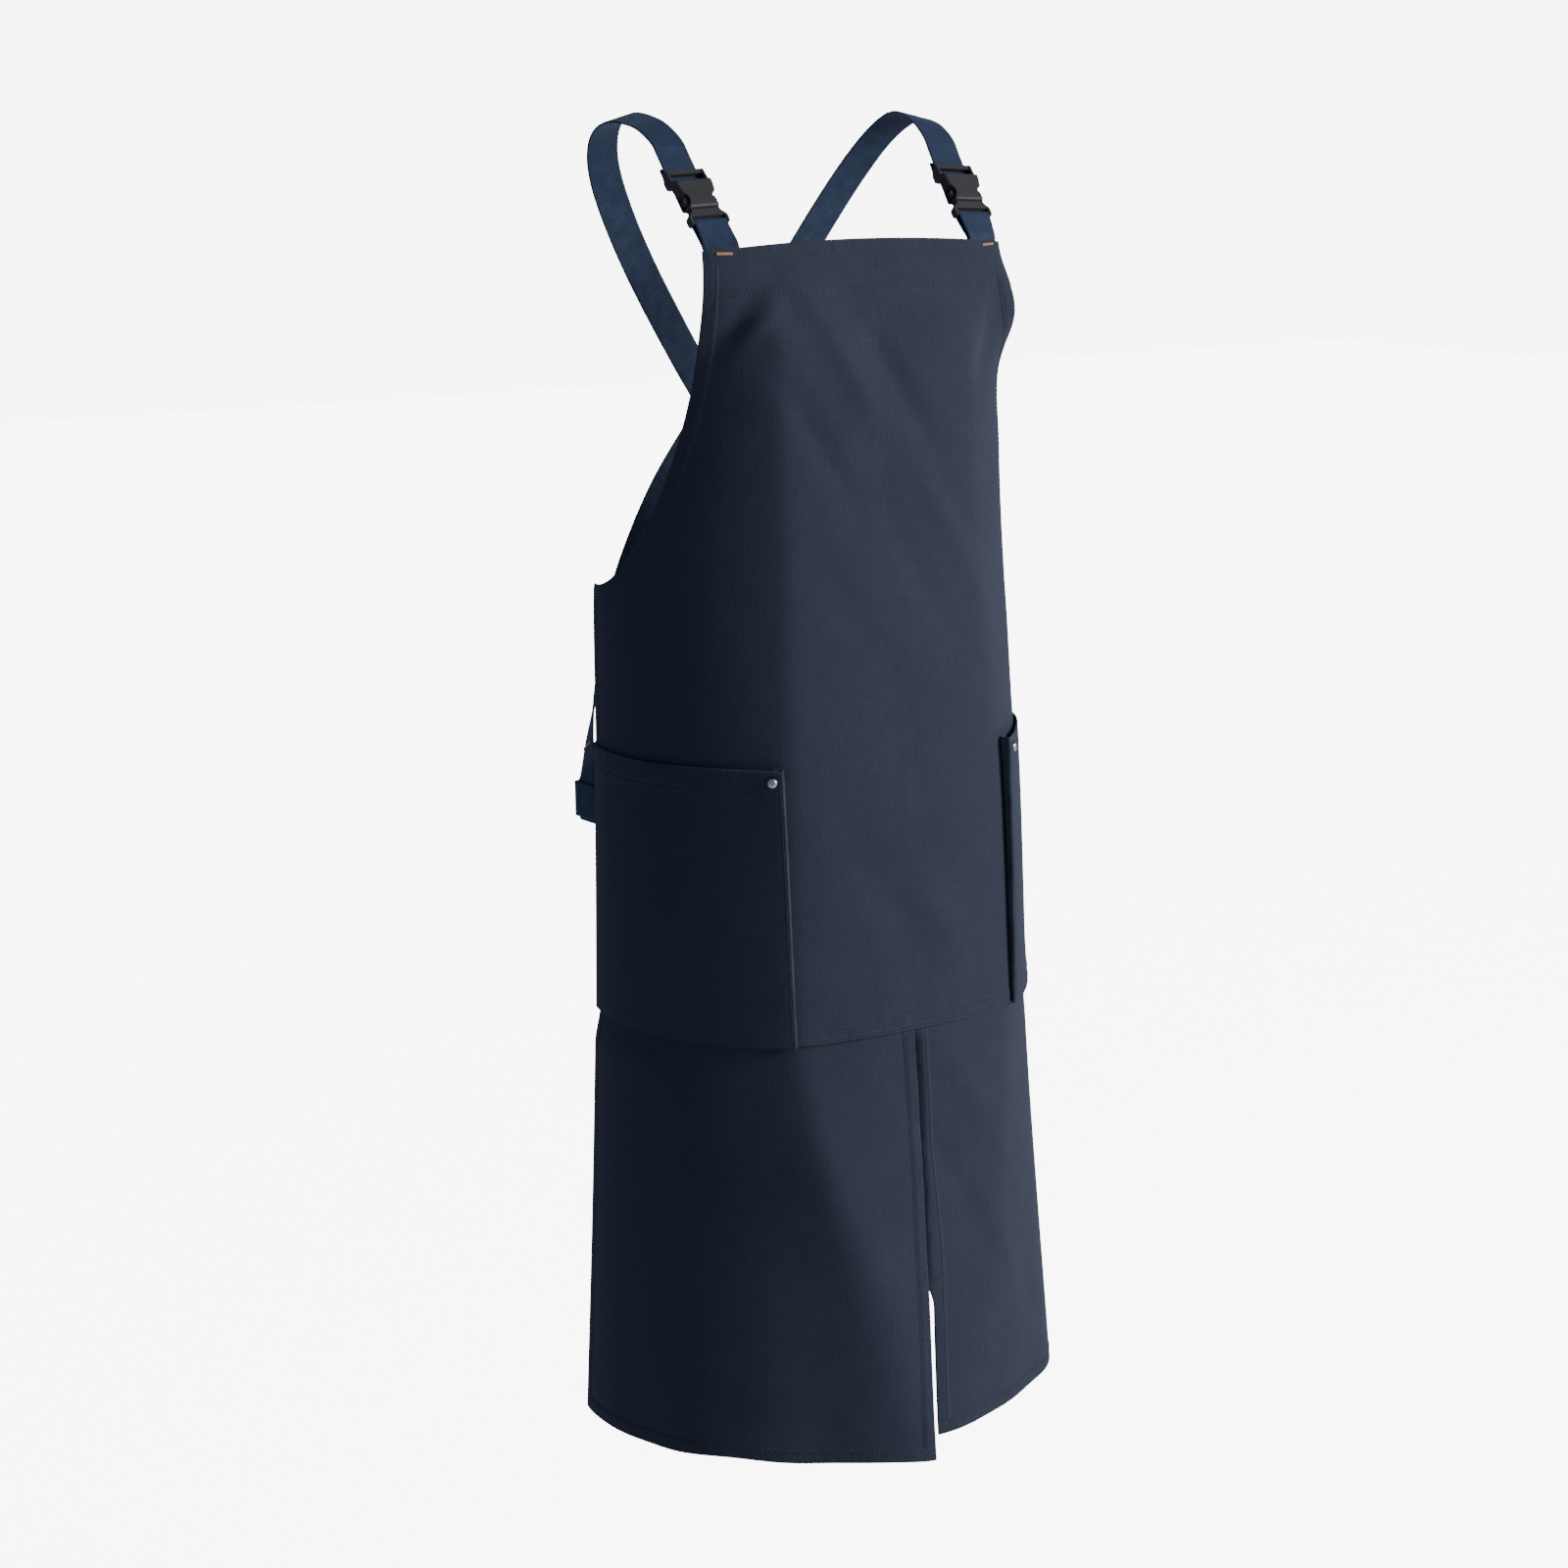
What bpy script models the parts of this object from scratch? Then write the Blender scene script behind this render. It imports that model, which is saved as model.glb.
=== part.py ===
"""Artist's smock apron: a canvas bib apron with a split skirt, two patch pockets,
cross-back webbing straps and side-release buckles.

Frame: +Z up, the wearer faces -Y, the wearer's right is -X.
The origin is midway between the two places where the straps cross the shoulders.
"""

import math

import bmesh
import bpy
import numpy as np
from mathutils import Vector

for old in list(bpy.data.objects):
    bpy.data.objects.remove(old, do_unlink=True)

MM = 0.001

# Cloth and webbing
CANVAS = 1.2 * MM
WEBBING = 1.5 * MM
WEBBING_WIDTH = 27.0 * MM
SEWN_GAP = 0.9 * MM
LOOP_SETBACK = 1.2 * MM
LAYER_GAP = 0.4 * MM

# Heights, down from the shoulders
BIB_TOP = -0.0913
BIB_ARCH = 0.006
WAIST_CORNER = -0.3365
HIP_SEAM = -0.6610
HEM = -0.9810
SEAM_ALLOWANCE = 0.012
PANEL_HINGE_OUT = 0.053
FACING_DEPTH = 0.032

# Half widths of the flat cloth, from the centre line
BIB_HALF = 0.1305
WAIST_HALF = 0.2640
SEAM_HALF = 0.2940
HEM_HALF = 0.3355
SLIT_HALF_TOP = 0.0006
SLIT_HALF_HEM = 0.0065
ARMHOLE_START = 1.65
ARMHOLE_END = 0.45

# Pockets
POCKET_TOP = -0.4560
POCKET_INNER = 0.0970
POCKET_SIDE_MARGIN = 0.004
POCKET_STANDOFF_TOP = 7.5 * MM
POCKET_STANDOFF_SEAM = 2.6 * MM
POCKET_BELLY = 3.5 * MM
POCKET_FLANGE = 8.0 * MM

# Rivets
RIVET_INSET = 0.0075
RIVET_DROP = 0.0085
RIVET_CAP_R = 3.5 * MM
RIVET_SHANK_R = 1.5 * MM
RIVET_HOLE_R = 2.0 * MM
BURR_R = 3.6 * MM

# Front straps: a straight run from the bib up to the shoulder
LOOP_S = 0.1145
LOOP_BURIED = 0.021
STRAP_LEAN = (0.06, 0.61, 0.79)
CREST = (0.1265, 0.0, 0.0)

# Side loops
TAB_HEIGHT = -0.5045
TAB_REACH = 0.0315
TAB_SEWN = 0.018
TAB_FLARE = math.radians(24)
CHANNEL_CENTRE = 0.0165

# The wearer: height, half width, half depth, centre Y and squareness of each level
BODY_LEVELS = (
    (-0.080, 0.150, 0.068, -0.055, 5.0),
    (-0.125, 0.163, 0.094, -0.042, 3.2),
    (-0.185, 0.153, 0.112, -0.038, 2.4),
    (-0.250, 0.158, 0.116, -0.038, 2.2),
    (-0.340, 0.165, 0.121, -0.040, 2.15),
    (-0.456, 0.170, 0.128, -0.049, 2.15),
    (-0.661, 0.174, 0.142, -0.054, 2.15),
    (-0.985, 0.192, 0.164, -0.069, 2.1),
)

# The upright corners between the flat front and the sides: heights down and places round
CORNER_HEIGHTS = (0.300, 0.600, 0.661, 0.800, 0.900, 0.981)
CORNER_PLACES = (0.082, 0.098, 0.097, 0.077, 0.054, 0.030)
CORNER_LIFT = 0.0080
CORNER_REACH = 0.045
CORNER_ROUNDING = 0.007
CORNER_START = 0.124
CORNER_RAMP = 0.036

# Buckle, measured up the strap from the bib's top edge (T), across it (W) and out (N), in mm
BUCKLE_HALF = 15.8
WEB_CLEAR = 13.85
BAR_T = (20.5, 23.3)
SLOT_TOP_T = 26.4
MALE_TOP_T = 33.1
MOUTH_T = 33.5
CAVITY_END_T = 54.0
HOUSING_END_T = 57.8
CROSSBAR_T = (65.2, 68.8)
REAR_BAR_T = (58.8, 61.6)
NOTCH_T = 41.0
NOTCH_R = 6.3
RUN_N = -5.3

CANVAS_NAVY = (0.020, 0.027, 0.042, 1.0)
WEBBING_NAVY = (0.022, 0.050, 0.115, 1.0)
BUCKLE_BLACK = (0.045, 0.042, 0.046, 1.0)
NICKEL = (0.62, 0.61, 0.59, 1.0)
THREAD_TAN = (0.62, 0.36, 0.16, 1.0)


# ---------------------------------------------------------------- objects


def material(name, colour, roughness, metallic=0.0):
    m = bpy.data.materials.new(name + "_material")
    m.use_nodes = True
    shader = m.node_tree.nodes["Principled BSDF"]
    shader.inputs["Base Color"].default_value = colour
    shader.inputs["Roughness"].default_value = roughness
    shader.inputs["Metallic"].default_value = metallic
    return m


def add_object(name, points, faces, look, origin=(0.0, 0.0, 0.0)):
    """Makes one closed object whose faces point out, with its origin at the given place."""
    origin = np.asarray(origin, float)
    mesh = bpy.data.meshes.new(name)
    mesh.from_pydata([tuple(p - origin) for p in np.asarray(points, float)], [], faces)
    bm = bmesh.new()
    bm.from_mesh(mesh)
    bmesh.ops.recalc_face_normals(bm, faces=bm.faces)
    if bm.calc_volume(signed=True) < 0:
        bmesh.ops.reverse_faces(bm, faces=bm.faces)
    bm.to_mesh(mesh)
    bm.free()
    colour, roughness, metallic = look
    mesh.materials.append(material(name, colour, roughness, metallic))
    thing = bpy.data.objects.new(name, mesh)
    thing.location = origin
    bpy.context.scene.collection.objects.link(thing)
    return thing


def mirrored(points):
    return np.asarray(points, float) * (-1.0, 1.0, 1.0)


def both_sides(stem, points, faces, look, origin=(0.0, 0.0, 0.0)):
    """Adds the wearer's left piece as given and the right one as its mirror image."""
    add_object(stem + "_left", points, faces, look, origin)
    add_object(stem + "_right", mirrored(points), faces, look, mirrored(origin))


def shell(outer, inner):
    """A closed sheet between two grids of points with the same rows and columns."""
    rows, columns = outer.shape[:2]
    points = np.concatenate([outer.reshape(-1, 3), inner.reshape(-1, 3)])
    base = rows * columns

    def at(r, c, side=0):
        return side * base + r * columns + c

    faces = []
    for r in range(rows - 1):
        for c in range(columns - 1):
            faces.append((at(r, c), at(r + 1, c), at(r + 1, c + 1), at(r, c + 1)))
            faces.append((at(r, c, 1), at(r, c + 1, 1), at(r + 1, c + 1, 1), at(r + 1, c, 1)))
    for c in range(columns - 1):
        faces.append((at(0, c), at(0, c + 1), at(0, c + 1, 1), at(0, c, 1)))
        r = rows - 1
        faces.append((at(r, c + 1), at(r, c), at(r, c, 1), at(r, c + 1, 1)))
    for r in range(rows - 1):
        faces.append((at(r + 1, 0), at(r, 0), at(r, 0, 1), at(r + 1, 0, 1)))
        c = columns - 1
        faces.append((at(r, c), at(r + 1, c), at(r + 1, c, 1), at(r, c, 1)))
    return points, faces


def ribbon(centres, across, width, thickness):
    """A flat band along a line of centres; across gives its width direction at each one."""
    centres, across = np.asarray(centres, float), np.asarray(across, float)
    steps = np.diff(centres, axis=0)
    steps /= np.linalg.norm(steps, axis=1)[:, None]
    along = np.vstack([steps[:1], steps[1:] + steps[:-1], steps[-1:]])
    along /= np.linalg.norm(along, axis=1)[:, None]
    across = across - along * (across * along).sum(1)[:, None]
    across /= np.linalg.norm(across, axis=1)[:, None]
    out = np.cross(across, along)
    points, faces = [], []
    for middle, w, n in zip(centres, across, out):
        for side, face in ((-1, -1), (1, -1), (1, 1), (-1, 1)):
            points.append(middle + w * side * width / 2 + n * face * thickness / 2)
    last = len(centres) - 1
    for i in range(last):
        for k in range(4):
            a, b = 4 * i + k, 4 * i + (k + 1) % 4
            faces.append((a, b, b + 4, a + 4))
    faces.append((0, 3, 2, 1))
    faces.append((4 * last, 4 * last + 1, 4 * last + 2, 4 * last + 3))
    return np.array(points), faces


def smooth_line(knots, step):
    """Catmull-Rom line through the knots (rows of any length), at roughly equal steps."""
    knots = np.asarray(knots, float)
    padded = np.vstack([2 * knots[0] - knots[1], knots, 2 * knots[-1] - knots[-2]])
    line = []
    for i in range(len(knots) - 1):
        p0, p1, p2, p3 = padded[i : i + 4]
        span = np.linalg.norm((p2 - p1)[:3])
        count = max(1, round(span / step))
        for t in np.arange(count) / count:
            line.append(
                0.5
                * (
                    2 * p1
                    + (p2 - p0) * t
                    + (2 * p0 - 5 * p1 + 4 * p2 - p3) * t**2
                    + (3 * p1 - p0 - 3 * p2 + p3) * t**3
                )
            )
    line.append(knots[-1])
    return np.array(line)


# ---------------------------------------------------------------- the wearer's shape


def body_level(z):
    """Half width, half depth, centre Y and squareness at a height."""
    table = np.array(BODY_LEVELS)[::-1]
    heights = table[:, 0]
    k = int(np.clip(np.searchsorted(heights, z) - 1, 0, len(heights) - 2))
    h = heights[k + 1] - heights[k]
    t = float(np.clip((z - heights[k]) / h, 0.0, 1.0))
    found = []
    for column in range(1, 5):
        value = table[:, column]
        slope = np.gradient(value, heights)
        found.append(
            (2 * t**3 - 3 * t**2 + 1) * value[k]
            + (t**3 - 2 * t**2 + t) * h * slope[k]
            + (3 * t**2 - 2 * t**3) * value[k + 1]
            + (t**3 - t**2) * h * slope[k + 1]
        )
    return found


def body_ring(z):
    """X and Y round the wearer's left side from front to back, and the length so far."""
    half_width, half_depth, centre, square = body_level(z)
    turn = np.linspace(0.0, math.pi, 721)
    x = half_width * np.abs(np.sin(turn)) ** (2 / square)
    y = centre - half_depth * np.sign(np.cos(turn)) * np.abs(np.cos(turn)) ** (2 / square)
    length = np.concatenate([[0.0], np.cumsum(np.hypot(np.diff(x), np.diff(y)))])
    return x, y, length


RINGS = {}


def corner_at(z):
    """How far round from the centre front the cloth turns its corner at a height."""
    return float(np.interp(-z, CORNER_HEIGHTS, CORNER_PLACES))


def corner_lift(s, z):
    """The cloth bridges flatly between the chest's middle and sides, so its corners stand out."""
    rise = min(1.0, max(0.0, (-CORNER_START - z) / CORNER_RAMP))
    fade = min(1.0, max(0.0, (HIP_SEAM - z) / (HIP_SEAM - HEM)))
    height = CORNER_LIFT * rise * rise * (3 - 2 * rise) * (1.0 - 0.8 * fade)
    away = math.hypot(abs(s) - corner_at(z), CORNER_ROUNDING) - CORNER_ROUNDING
    return height * math.exp(-away / CORNER_REACH)


def on_body(s, z, lift=0.0):
    """The point a cloth length s round from the centre front, at height z, lifted outward."""
    key = round(z, 6)
    if key not in RINGS:
        RINGS[key] = body_ring(z)
    x, y, length = RINGS[key]

    def place(distance):
        side = 1.0 if distance >= 0 else -1.0
        return np.array(
            [side * np.interp(abs(distance), length, x), np.interp(abs(distance), length, y)]
        )

    ahead = place(s + 0.004) - place(s - 0.004)
    ahead /= np.linalg.norm(ahead)
    here = place(s) + np.array([ahead[1], -ahead[0]]) * (lift + corner_lift(s, z))
    return np.array([here[0], here[1], z])


def tangent_round(s, z, reach=0.004):
    ahead = on_body(s + reach, z) - on_body(s - reach, z)
    return ahead / np.linalg.norm(ahead)


# ---------------------------------------------------------------- canvas


def half_width_at(z):
    """Half width of the flat cloth at a height."""
    if z > WAIST_CORNER:
        t = min(1.0, max(0.0, (BIB_TOP - z) / (BIB_TOP - WAIST_CORNER)))
        sweep = 1.0 - (1.0 - t**ARMHOLE_START) ** ARMHOLE_END
        return BIB_HALF + (WAIST_HALF - BIB_HALF) * sweep
    if z > HIP_SEAM:
        t = (WAIST_CORNER - z) / (WAIST_CORNER - HIP_SEAM)
        return WAIST_HALF + (SEAM_HALF - WAIST_HALF) * t
    t = (HIP_SEAM - z) / (HIP_SEAM - HEM)
    return SEAM_HALF + (HEM_HALF - SEAM_HALF) * t


def arch_at(s, z):
    """How far the cloth near the bib's top edge is raised towards the middle."""
    fade = min(1.0, max(0.0, 1.0 - (BIB_TOP - z) / 0.09))
    return BIB_ARCH * (1.0 - min(1.0, abs(s) / BIB_HALF) ** 2) * fade**2


def body_rows():
    armhole = np.linspace(0.0, 1.0, 200)
    heights = BIB_TOP + (WAIST_CORNER - BIB_TOP) * armhole
    widths = np.array([half_width_at(z + 1e-9) for z in heights])
    length = np.concatenate([[0], np.cumsum(np.hypot(np.diff(heights), np.diff(widths)))])
    upper = np.interp(np.linspace(0, length[-1], 16), length, heights)
    lower = np.linspace(WAIST_CORNER, HIP_SEAM, 14)[1:]
    return list(upper) + list(lower)


def beside_corner(z):
    return [corner_at(z) + d * MM for d in (-13.0, -6.5, -2.0, 2.0, 6.5, 13.0)]


def make_apron_body():
    outer, inner = [], []
    for z in body_rows():
        close = beside_corner(z)
        columns = list(np.linspace(-1.0, 1.0, 29) * half_width_at(z))
        columns = sorted(columns + close + [-s for s in close])
        outer.append([on_body(s, z + arch_at(s, z), 0.0) for s in columns])
        inner.append([on_body(s, z + arch_at(s, z), -CANVAS) for s in columns])
    points, faces = shell(np.array(outer), np.array(inner))
    add_object("apron_body", points, faces, (CANVAS_NAVY, 0.85, 0.0))


def make_bib_facing():
    """The turned-down band behind the bib's top edge; the strap loops lie between them."""
    reach = BIB_HALF - 0.003
    near_loops = [LOOP_S + d for d in (-0.0225, -0.0175, -0.015, 0.0, 0.0125)]
    s_values = sorted({round(v, 5) for v in [-a for a in near_loops] + near_loops})
    s_values = sorted(s_values + [-reach, reach] + list(np.linspace(-0.085, 0.085, 9)))
    outer, inner = [], []
    for drop in (0.0012, 0.011, 0.0215, FACING_DEPTH):
        row_out, row_in = [], []
        for s in s_values:
            away = abs(abs(s) - LOOP_S)
            bump = 1.0 - min(1.0, max(0.0, (away - 0.0150) / 0.0070))
            lift = -CANVAS - SEWN_GAP
            lift -= bump * (2 * WEBBING + 3 * LAYER_GAP + 2 * LOOP_SETBACK)
            z = BIB_TOP - drop
            z += arch_at(s, z)
            row_out.append(on_body(s, z, lift))
            row_in.append(on_body(s, z, lift - CANVAS))
        outer.append(row_out)
        inner.append(row_in)
    points, faces = shell(np.array(outer), np.array(inner))
    add_object("bib_facing", points, faces, (CANVAS_NAVY, 0.85, 0.0))


def make_leg_panels():
    top = HIP_SEAM + SEAM_ALLOWANCE
    outer, inner = [], []
    for z in np.linspace(top, HEM, 15):
        half = half_width_at(min(z, HIP_SEAM))
        t = min(1.0, max(0.0, (HIP_SEAM - z) / (HIP_SEAM - HEM)))
        start = SLIT_HALF_TOP + (SLIT_HALF_HEM - SLIT_HALF_TOP) * t
        start += max(0.0, z - HIP_SEAM) * 0.2
        lift = -CANVAS - SEWN_GAP
        columns = sorted(list(np.linspace(start, half, 15)) + beside_corner(z))
        outer.append([on_body(s, z, lift) for s in columns])
        inner.append([on_body(s, z, lift - CANVAS) for s in columns])
    points, faces = shell(np.array(outer), np.array(inner))
    # The hinge line runs level from beside the slit to the side edge, far enough out
    # that the panel hangs against its stop and its top edge swings clear of the body.
    axis_height = HIP_SEAM - 0.0006
    by_slit = on_body(SLIT_HALF_TOP, axis_height, -CANVAS - SEWN_GAP)
    by_side = on_body(SEAM_HALF, axis_height, -CANVAS - SEWN_GAP)
    line = (by_side - by_slit) / np.linalg.norm(by_side - by_slit)
    outwards = np.cross(line, (0.0, 0.0, 1.0))
    pivot = (by_slit + by_side) / 2 + outwards * PANEL_HINGE_OUT
    both_sides("leg_panel", points, faces, (CANVAS_NAVY, 0.85, 0.0), pivot)


# ---------------------------------------------------------------- pockets


def pocket_standoff(z):
    t = (z - HIP_SEAM) / (POCKET_TOP - HIP_SEAM)
    t = min(1.0, max(0.0, t)) ** 0.7
    return POCKET_STANDOFF_SEAM + (POCKET_STANDOFF_TOP - POCKET_STANDOFF_SEAM) * t


def pocket_profile(z):
    """(s, inner lift, outer lift) from the side edge to the inner edge, then under it."""
    side = half_width_at(z) - POCKET_SIDE_MARGIN
    stand = pocket_standoff(z)
    belly = POCKET_BELLY * (stand - POCKET_STANDOFF_SEAM)
    belly /= POCKET_STANDOFF_TOP - POCKET_STANDOFF_SEAM
    profile = []
    for q in (0.0, 0.06, 0.14, 0.24, 0.35, 0.46, 0.57, 0.68, 0.79, 0.9):
        s = side + (POCKET_INNER - side) * q
        rise = min(1.0, q / 0.24)
        rise = rise * rise * (3 - 2 * rise)
        lift = SEWN_GAP + (stand - SEWN_GAP) * rise + belly * math.sin(math.pi * q) * rise
        profile.append((s, s, lift, lift + CANVAS))
    edge = POCKET_INNER
    profile.append((edge + CANVAS, edge + 0.4 * CANVAS, stand, stand + CANVAS))
    profile.append((edge + CANVAS, edge, stand - 0.4 * CANVAS, stand + 0.6 * CANVAS))
    profile.append((edge + CANVAS, edge, SEWN_GAP + CANVAS, SEWN_GAP))
    flange = edge + POCKET_FLANGE
    profile.append((flange, flange, SEWN_GAP + CANVAS * 0.95, SEWN_GAP))
    return profile


def pocket_face(s, z):
    """A point on the pocket's outer face."""
    profile = pocket_profile(z)[:11]
    across = [-s_out for _, s_out, _, _ in profile]
    lifts = [high for _, _, _, high in profile]
    return on_body(s, z, float(np.interp(-s, across, lifts)))


def rivet_place():
    """Centre of the rivet on the pocket's outer face, and its outward direction."""
    s, z = POCKET_INNER + RIVET_INSET, POCKET_TOP - RIVET_DROP
    step = RIVET_CAP_R * 0.7
    along = pocket_face(s + step, z) - pocket_face(s - step, z)
    down = pocket_face(s, z - step) - pocket_face(s, z + step)
    out = np.cross(down, along)
    out /= np.linalg.norm(out)
    return pocket_face(s, z), out


def make_pockets():
    outer, inner = [], []
    for z in np.linspace(POCKET_TOP, HIP_SEAM, 12):
        profile = pocket_profile(z)
        inner.append([on_body(s_in, z, low) for s_in, _, low, _ in profile])
        outer.append([on_body(s_out, z, high) for _, s_out, _, high in profile])
    points, faces = shell(np.array(outer), np.array(inner))
    centre, out = rivet_place()
    solid = temporary("pocket", points, faces)
    hole = temporary("hole", *cylinder(centre, out, RIVET_HOLE_R, -0.004, 0.003, 16))
    points, faces = combined(solid, [], [hole])
    both_sides("pocket", points, faces, (CANVAS_NAVY, 0.85, 0.0))


def make_rivets():
    """A domed cap with its shank through the pocket's corner, and the burr behind it."""
    centre, out = rivet_place()
    gap = 0.35 * MM
    rings = (
        (RIVET_SHANK_R, -CANVAS - 1.7 * MM),
        (RIVET_SHANK_R, gap),
        (RIVET_CAP_R * 0.93, gap),
        (RIVET_CAP_R, gap + 0.35 * MM),
        (RIVET_CAP_R * 0.93, gap + 0.85 * MM),
        (RIVET_CAP_R * 0.72, gap + 1.35 * MM),
        (RIVET_CAP_R * 0.40, gap + 1.65 * MM),
    )
    points, faces = lathe(centre, out, rings, 20)
    both_sides("rivet_cap", points, faces, (NICKEL, 0.25, 1.0))
    inside = -CANVAS - gap - 0.25 * MM
    rings = (
        (RIVET_SHANK_R + 0.35 * MM, inside),
        (BURR_R, inside),
        (BURR_R * 0.92, inside - 0.6 * MM),
        (RIVET_SHANK_R + 0.35 * MM, inside - 0.9 * MM),
    )
    points, faces = lathe(centre, out, rings, 20, ring_shaped=True)
    both_sides("rivet_burr", points, faces, (NICKEL, 0.3, 1.0))


# ---------------------------------------------------------------- turned and cut shapes


def basis_round(axis):
    axis = np.asarray(axis, float) / np.linalg.norm(axis)
    first = np.cross(axis, (0.0, 0.0, 1.0))
    first /= np.linalg.norm(first)
    return axis, first, np.cross(axis, first)


def lathe(centre, axis, rings, sides, ring_shaped=False):
    """Turns a list of (radius, height) round an axis; capped at both ends unless ring shaped."""
    axis, first, second = basis_round(axis)
    points, faces = [], []
    for radius, height in rings:
        for k in range(sides):
            a = 2 * math.pi * k / sides
            points.append(
                centre + axis * height + radius * (math.cos(a) * first + math.sin(a) * second)
            )
    count = len(rings)
    for r in range(count if ring_shaped else count - 1):
        after = (r + 1) % count
        for k in range(sides):
            j = (k + 1) % sides
            faces.append((r * sides + k, r * sides + j, after * sides + j, after * sides + k))
    if not ring_shaped:
        faces.append(tuple(range(sides))[::-1])
        faces.append(tuple((count - 1) * sides + k for k in range(sides)))
    return np.array(points), faces


def cylinder(centre, axis, radius, low, high, sides):
    return lathe(centre, axis, ((radius, low), (radius, high)), sides)


def temporary(name, points, faces):
    """A working solid, removed again by combined()."""
    solid = add_object(name + "_work", points, faces, (CANVAS_NAVY, 0.5, 0.0))
    solid.hide_render = True
    solid.display_type = "WIRE"
    return solid


def combined(base, added, cut):
    """Points and faces of base with solids added and cut away; removes the working solids."""
    for operation, solids in (("UNION", added), ("DIFFERENCE", cut)):
        for solid in solids:
            step = base.modifiers.new(solid.name, "BOOLEAN")
            step.operation = operation
            step.solver = "EXACT"
            step.object = solid
    evaluated = base.evaluated_get(bpy.context.evaluated_depsgraph_get())
    mesh = bpy.data.meshes.new_from_object(evaluated)
    bm = bmesh.new()
    bm.from_mesh(mesh)
    bmesh.ops.triangulate(bm, faces=bm.faces, ngon_method="EAR_CLIP")
    bmesh.ops.remove_doubles(bm, verts=bm.verts, dist=2e-6)
    bmesh.ops.dissolve_degenerate(bm, edges=bm.edges, dist=2e-6)
    bm.verts.index_update()
    points = np.array([tuple(v.co) for v in bm.verts])
    faces = [tuple(v.index for v in f.verts) for f in bm.faces]
    bm.free()
    bpy.data.meshes.remove(mesh)
    for solid in [base, *added, *cut]:
        bpy.data.objects.remove(solid, do_unlink=True)
    return points, faces


# ---------------------------------------------------------------- the buckle's own directions

LEAN = np.array(STRAP_LEAN) / np.linalg.norm(STRAP_LEAN)
ACROSS = np.array([1.0, 0.0, 0.0]) - LEAN * LEAN[0]
ACROSS /= np.linalg.norm(ACROSS)
OUT = np.cross(ACROSS, LEAN)
BIB_EDGE_Z = BIB_TOP + arch_at(LOOP_S, BIB_TOP)
LOOP_LIFT = -CANVAS - SEWN_GAP - LOOP_SETBACK - WEBBING - LAYER_GAP
FOOT = on_body(LOOP_S, BIB_EDGE_Z, LOOP_LIFT)


def local(w, t, n):
    """World point of buckle coordinates in millimetres."""
    return FOOT + (ACROSS * w + LEAN * t + OUT * n) * MM


def prism(outline, n_levels):
    """Extrudes a (w, t) outline along N through (n, inset) levels."""
    outline = np.array(outline, float)
    middle = (outline.max(0) + outline.min(0)) / 2
    half = (outline.max(0) - outline.min(0)) / 2
    points, faces = [], []
    for n, inset in n_levels:
        scale = (half - inset) / half
        for w, t in middle + (outline - middle) * scale:
            points.append(local(w, t, n))
    size = len(outline)
    for level in range(len(n_levels) - 1):
        for k in range(size):
            a, b = level * size + k, level * size + (k + 1) % size
            faces.append((a, b, b + size, a + size))
    faces.append(tuple(range(size))[::-1])
    faces.append(tuple((len(n_levels) - 1) * size + k for k in range(size)))
    return np.array(points), faces


def side_prism(outline, w_low, w_high):
    """Extrudes a (t, n) outline across the buckle."""
    size = len(outline)
    points = [local(w_low, t, n) for t, n in outline]
    points += [local(w_high, t, n) for t, n in outline]
    faces = [(k, (k + 1) % size, (k + 1) % size + size, k + size) for k in range(size)]
    faces.append(tuple(range(size))[::-1])
    faces.append(tuple(size + k for k in range(size)))
    return np.array(points), faces


def block(w, t, n):
    return prism([(w[0], t[0]), (w[1], t[0]), (w[1], t[1]), (w[0], t[1])], [(n[0], 0), (n[1], 0)])


def symmetric(right_side):
    """A closed (w, t) outline from its right half, bottom to top."""
    return [(w, t) for w, t in right_side] + [(-w, t) for w, t in reversed(right_side)]


def make_female():
    housing = symmetric(
        [
            (12.2, MOUTH_T),
            (12.9, MOUTH_T + 1.2),
            (13.4, 38.0),
            (14.2, 45.0),
            (15.2, 50.0),
            (BUCKLE_HALF, 54.5),
            (BUCKLE_HALF, HOUSING_END_T),
        ]
    )
    levels = [(-4.2, 0.7), (-3.4, 0.0), (2.6, 0.0), (3.9, 0.6), (4.7, 1.9)]
    base = temporary("housing", *prism(housing, levels))
    rail = [(56.5, -3.9), (56.9, -8.6), (62.6, -8.9), (69.0, -5.6), (69.0, -0.9), (67.8, -0.3)]
    rail += [(56.5, 0.9)]
    added = [
        temporary("rail_a", *side_prism(rail, WEB_CLEAR, BUCKLE_HALF - 0.05)),
        temporary("rail_b", *side_prism(rail, -BUCKLE_HALF + 0.05, -WEB_CLEAR)),
        temporary("crossbar", *block((-14.6, 14.6), CROSSBAR_T, (-3.9, -0.75))),
        temporary("rear_bar", *block((-14.6, 14.6), REAR_BAR_T, (-8.8, -6.4))),
    ]
    cut = [temporary("cavity", *block((-11.3, 11.3), (MOUTH_T - 3, CAVITY_END_T), (-2.2, 2.6)))]
    for name, w in (("notch_a", 16.0), ("notch_b", -16.0)):
        notch = cylinder(local(w, NOTCH_T, 0), OUT, NOTCH_R * MM, -9 * MM, 9 * MM, 28)
        cut.append(temporary(name, *notch))
    points, faces = combined(base, added, cut)
    both_sides("buckle_female", points, faces, (BUCKLE_BLACK, 0.45, 0.0), local(0, 50, 0))


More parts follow.
